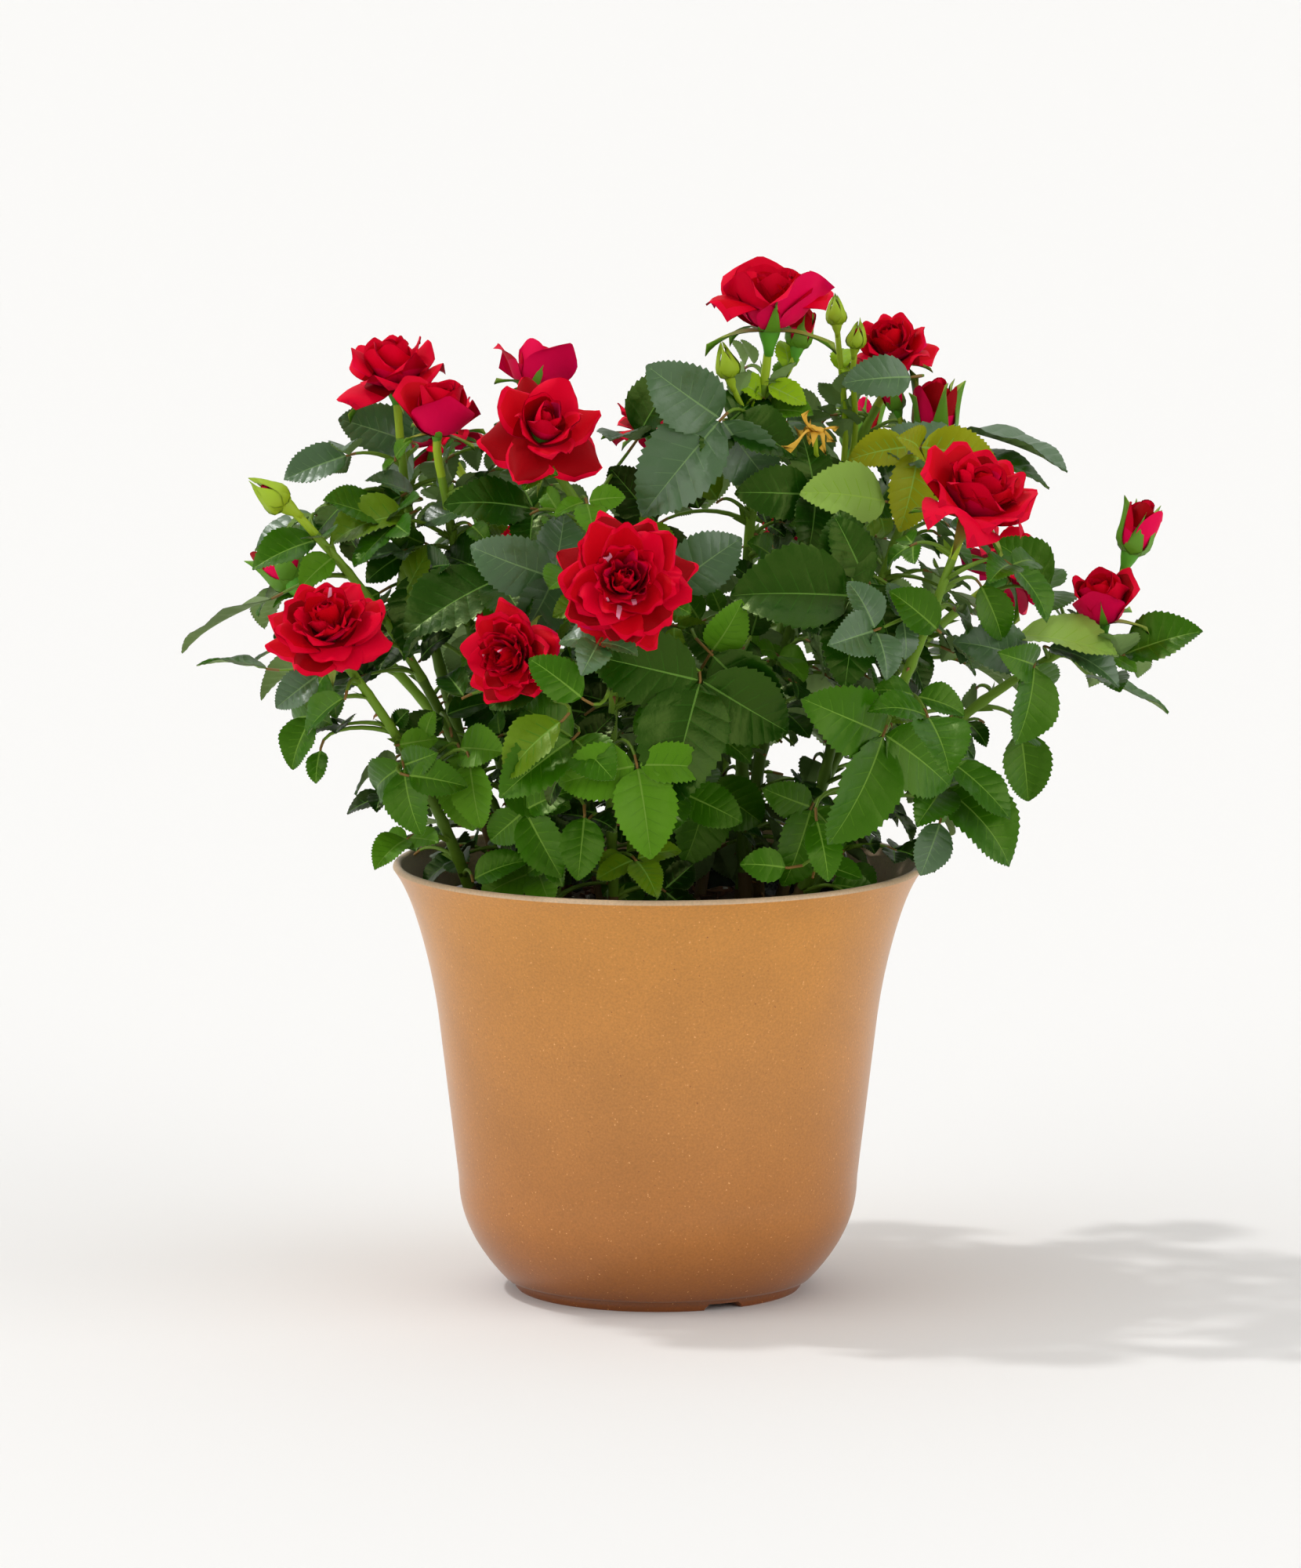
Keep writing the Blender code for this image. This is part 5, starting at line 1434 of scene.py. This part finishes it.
def pot_outer_radius(height):
    """The pot's outer radius: a round shoulder, a straight taper, then the flare."""
    if height < SHOULDER_HEIGHT:
        share = (height - FOOT_HEIGHT) / (SHOULDER_HEIGHT - FOOT_HEIGHT)
        fullness = 1.0 - (1.0 - share) ** SHOULDER_ROUNDNESS
        return mix(SHOULDER_FOOT_RADIUS, SHOULDER_RADIUS, fullness)
    taper = (TAPER_RADIUS - SHOULDER_RADIUS) / (TAPER_HEIGHT - SHOULDER_HEIGHT)
    radius = SHOULDER_RADIUS + taper * (height - SHOULDER_HEIGHT)
    if height > TAPER_HEIGHT:
        share = (height - TAPER_HEIGHT) / (POT_HEIGHT - TAPER_HEIGHT)
        spread = RIM_RADIUS - (SHOULDER_RADIUS + taper * (POT_HEIGHT - SHOULDER_HEIGHT))
        sweep = FLARE_SWEEP * share**FLARE_SWEEP_POWER
        radius += spread * (sweep + (1.0 - FLARE_SWEEP) * share**LIP_CURL_POWER)
    return radius


def bead(radius, height, wide, tall, angles):
    """Rows of a turned section round part of an ellipse."""
    return [(radius + wide * math.cos(angle), height + tall * math.sin(angle)) for angle in angles]


def pot_profile():
    """The pot's section: underside, foot ring, wall, rounded lip and inside down to its floor."""
    rows = [(AXIS_GAP, 0.0), (HUB_RADIUS, 0.0), (HUB_RADIUS + RECESS_DEPTH, RECESS_DEPTH)]
    rows += [(RECESS_RADIUS - RECESS_DEPTH, RECESS_DEPTH), (RECESS_RADIUS, 0.0)]
    rows += [(FOOT_RADIUS - 0.5 * MM, 0.0), (FOOT_RADIUS, 0.6 * MM)]
    rows += [(FOOT_RADIUS, NOTCH_HEIGHT), (FOOT_RADIUS, FOOT_HEIGHT - 0.4 * MM)]
    lip = LIP_THICKNESS / 2
    top = POT_HEIGHT - lip
    heights = [mix(FOOT_HEIGHT, top, t**1.2) for t in shares(64)]
    rows += [(pot_outer_radius(height), height) for height in heights]
    angles = [math.pi * step / LIP_STEPS for step in range(1, LIP_STEPS)]
    rows += bead(pot_outer_radius(top) - lip, top, lip, lip, angles)
    heights = [mix(top, SHOULDER_HEIGHT, t) for t in shares(30)]
    rows += [(pot_outer_radius(height) - LIP_THICKNESS, height) for height in heights]
    return rows + [(FLOOR_RADIUS, FLOOR_HEIGHT), (AXIS_GAP, FLOOR_HEIGHT)]


def build_pot():
    """The pot, with notches in its foot ring, a lip painted paler as a highlight and an inside painted
    darker downwards as shade.
    """
    profile = pot_profile()
    points, faces = lathe(profile, POT_SEGMENTS)
    headings = np.degrees(np.arctan2(points[:, 1], points[:, 0]))
    radius = np.hypot(points[:, 0], points[:, 1])
    for heading in NOTCH_HEADINGS:
        aside = np.abs((headings - heading + 180.0) % 360.0 - 180.0)
        cut = (np.radians(aside) * FOOT_RADIUS < NOTCH_WIDTH / 2) & (radius > RECESS_RADIUS - 0.1 * MM)
        points[cut, 2] = np.maximum(points[cut, 2], NOTCH_HEIGHT)
    highest = max(range(len(profile)), key=lambda row: profile[row][1])
    finishes = []
    for row in range(len(profile) - 1):
        near = abs(row + 0.5 - highest) <= LIP_STEPS / 2
        finishes += ["lip" if near else "outside" if row < highest else "inside"] * POT_SEGMENTS
    pot = Piece("flared_pot", {
        "outside": pot_plastic("pot_outside", OUTSIDE_COLOURS_WITH_PAINTED_SHADE, 0.34),
        # The lip's pale tan is a painted highlight where the rim's rounded top catches the light.
        "lip": pot_plastic("pot_lip", ((0.0, (206, 172, 134)), (1.0, (210, 178, 140))), 0.45),
        # The inside's colours darken downwards as painted shade.
        "inside": pot_plastic("pot_inside", ((0.4, (140, 104, 68)), (1.0, (200, 168, 136))), 0.5),
    })
    pot.add(points, faces, finishes)
    pot.build("pot", ["pot"], sharp=40)


def liner_wall(height):
    """The liner's inner radius at a height, from the box of the mix that fills it."""
    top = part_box("potting_mix")[1].x + 0.45 * MM
    return mix(44.2 * MM, top, (height - MIX_FOOT) / (MIX_HEIGHT - MIX_FOOT))


def mix_profile():
    """The plain section of the mix, for testing what touches it."""
    wall = [(liner_wall(height), height) for height in (MIX_FOOT, MIX_HEIGHT)]
    return [(AXIS_GAP, MIX_FOOT), *wall, (AXIS_GAP, MIX_HEIGHT)]


def build_liner():
    """The black liner: a thin wall with a rolled bead round its rim."""
    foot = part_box("liner")[0].z
    wall = 1.0 * MM
    outer_top = LINER_RIM_RADIUS - 1.6 * MM
    rows = [(AXIS_GAP, foot), (liner_wall(foot) + wall, foot), (outer_top, LINER_HEIGHT - 3.0 * MM)]
    wide = 1.1 * MM
    tall = 1.5 * MM
    angles = [math.pi * (t - 0.4) for t in shares(8)]
    rows += bead(LINER_RIM_RADIUS - wide, LINER_HEIGHT - tall, wide, tall, angles)
    rows += [(outer_top - wall, LINER_HEIGHT - 2.0 * MM)]
    rows += [(liner_wall(foot), foot + wall), (AXIS_GAP, foot + wall)]
    liner = Piece("black_liner", {"liner": black_plastic("liner_plastic")})
    liner.add(*lathe(rows, 128), "liner")
    liner.build("liner", ["liner"], sharp=50)


def ground_lift(x, y):
    """How far the mix's surface stands above its level at a place."""
    waves = np.sin(310 * x + 1.3) * np.cos(270 * y - 0.4) + 0.6 * np.sin(690 * x - 520 * y)
    return 1.0 * MM * waves + 0.7 * MM * np.sin(1500 * x + 900 * y) * np.cos(1300 * y)


def build_mix():
    """The potting mix: a lumpy top strewn with bark chips and white grains."""
    edge = liner_wall(MIX_HEIGHT) - 0.4 * MM
    rows = [(AXIS_GAP, MIX_FOOT), (liner_wall(MIX_FOOT) - 0.4 * MM, MIX_FOOT)]
    rows += [(edge * (1.0 - t), MIX_HEIGHT) for t in shares(40)[:-1]]
    points, faces = lathe(rows + [(AXIS_GAP, MIX_HEIGHT)], 120)
    top = points[:, 2] > MIX_HEIGHT - 0.1 * MM
    points[top, 2] += ground_lift(points[top, 0], points[top, 1])
    looks = {
        "peat": earth("peat", (34, 22, 15), (74, 52, 36), 260.0),
        "bark": earth("bark_chip", (66, 40, 24), (128, 84, 52), 300.0),
        "grain": earth("white_grain", (196, 190, 180), (232, 228, 220), 600.0),
    }
    peat = Piece("peat_bed", {"peat": looks["peat"]})
    peat.add(points, faces, "peat")
    peat.build("potting_mix", ["potting_mix"])
    strewn = Piece("strewn_chips", looks)
    box = [(0, 2, 3, 1), (4, 5, 7, 6), (0, 1, 5, 4), (2, 6, 7, 3), (0, 4, 6, 2), (1, 3, 7, 5)]
    draw = random.Random("chips")
    for index in range(CHIP_COUNT + GRAIN_COUNT):
        place = facing(draw.uniform(0, 360), 0) * edge * math.sqrt(draw.uniform(0.0, 0.95))
        place.z = MIX_HEIGHT + ground_lift(place.x, place.y) + draw.uniform(0.0, 1.2) * MM
        grain = index >= CHIP_COUNT
        length = draw.uniform(1.2, 2.4) if grain else draw.uniform(2.5, 8.0)
        size = Vector((length, length * draw.uniform(0.35, 0.8), draw.uniform(0.8, 1.8))) * MM / 2
        if grain:
            size.z = size.x
        along = facing(draw.uniform(0, 360), draw.uniform(-25, 25))
        side, over = frame_round(along)
        corners = []
        for up, across, end in product((-1, 1), repeat=3):
            jitter = [draw.uniform(0.65, 1.1) for _ in range(3)]
            corner = along * end * size.x * jitter[0] + side * across * size.y * jitter[1]
            corners.append(place + corner + over * up * size.z * jitter[2])
        strewn.add(corners, box, "grain" if grain else draw.choice(("peat", "bark", "bark")))
    strewn.build("potting_mix", sharp=30)


# ---- The plant ----


def build_plant():
    """Canes, leaves, stalks, blooms and buds, each kind joined into pieces of its own."""
    canes = [Cane(*row) for row in FRONT_CANES] + back_canes()
    grown = grow_leaves(canes)
    stems = stem_looks()
    leaf_finishes = leaf_looks()
    petal_finish = petal_looks()
    bark = Piece("canes", stems)
    sides = ("left", "middle", "right", "back")
    leaves = {side: Piece(f"leaves_{side}", leaf_finishes) for side in sides}
    twigs = Piece("stalks_and_shoots", stems)
    greens = Piece("hips_and_sepals", stems)
    petals = {side: Piece(f"petals_{side}", petal_finish) for side in ("front", "back")}
    for cane in canes:
        side = cane.name.split("_")[0]
        blooms = petals["back" if side == "back" else "front"]
        add_cane(bark, cane)
        add_flower(blooms, greens, cane.tip, cane.flower, cane.style)
        add_shoots(blooms, greens, twigs, leaves[side], cane)
        draw = random.Random(f"blades {cane.name}")
        for leaf in grown[cane.name]:
            add_leaf(leaves[side], twigs, leaf, draw)
        if cane.name == "right_inner":
            add_spent_flower(greens, cane)
    bark.build("cane", [f"cane_{cane.name}" for cane in canes])
    twigs.build("cane")
    greens.build("foliage")
    for side, piece in leaves.items():
        piece.build("foliage", [f"spray_{cane.name}" for cane in canes if cane.name.startswith(side)])
    for piece in petals.values():
        piece.build("petals")


# ---- Stage, light and camera ----

CAMERA_PLACE = (-2.2 * MM, -2.6264, 0.5148)
CAMERA_PITCH = -7.94
CAMERA_LENS = 208.8
FLOOR_SIZE = 60.0
# Each sun's name, strength, softness in degrees, and the side that it shines from.
SUNS = (
    ("key", 0.92, 3.0, (-0.58, 0.16, 1.0)),
    ("overhead", 1.3, 100.0, (-0.1, 0.45, 0.9)),
    ("left_fill", 1.68, 70.0, (-0.9, -0.45, 0.2)),
    ("right_fill", 1.96, 70.0, (0.92, -0.42, 0.2)),
    ("front_fill", 0.34, 70.0, (0.0, -1.0, 0.3)),
)


def build_stage():
    """A plain pale floor under an even sky, and a soft key light from the upper left."""
    bpy.ops.mesh.primitive_plane_add(size=FLOOR_SIZE)
    floor = bpy.context.object
    floor.name = "pale_floor"
    material, tree, shader = principled("pale_floor", (235, 234, 232), 0.9)
    add_relief(tree, shader, noise(tree, 40.0), 0.01 * MM)
    floor.data.materials.append(material)
    world = bpy.data.worlds.new("even_sky")
    bpy.context.scene.world = world
    world.use_nodes = True
    tune(world.node_tree.nodes["Background"], Color=(1.0, 0.995, 0.985, 1.0), Strength=0.23)
    for name, strength, softness, place in SUNS:
        light = bpy.data.lights.new(name, "SUN")
        light.energy = strength
        light.angle = math.radians(softness)
        placed(name, light).rotation_euler = Vector(place).to_track_quat("Z", "Y").to_euler()


def place_camera():
    """A long lens a little above the rim, which looks slightly down."""
    lens = bpy.data.cameras.new("camera")
    lens.lens = CAMERA_LENS
    lens.sensor_width = 36.0
    lens.clip_end = 100.0
    camera = placed("camera", lens)
    camera.location = CAMERA_PLACE
    camera.rotation_euler = (math.radians(90.0 + CAMERA_PITCH), 0.0, 0.0)
    bpy.context.scene.camera = camera
    bpy.context.scene.view_settings.view_transform = "Standard"


build_pot()
build_liner()
build_mix()
build_plant()
build_stage()
place_camera()
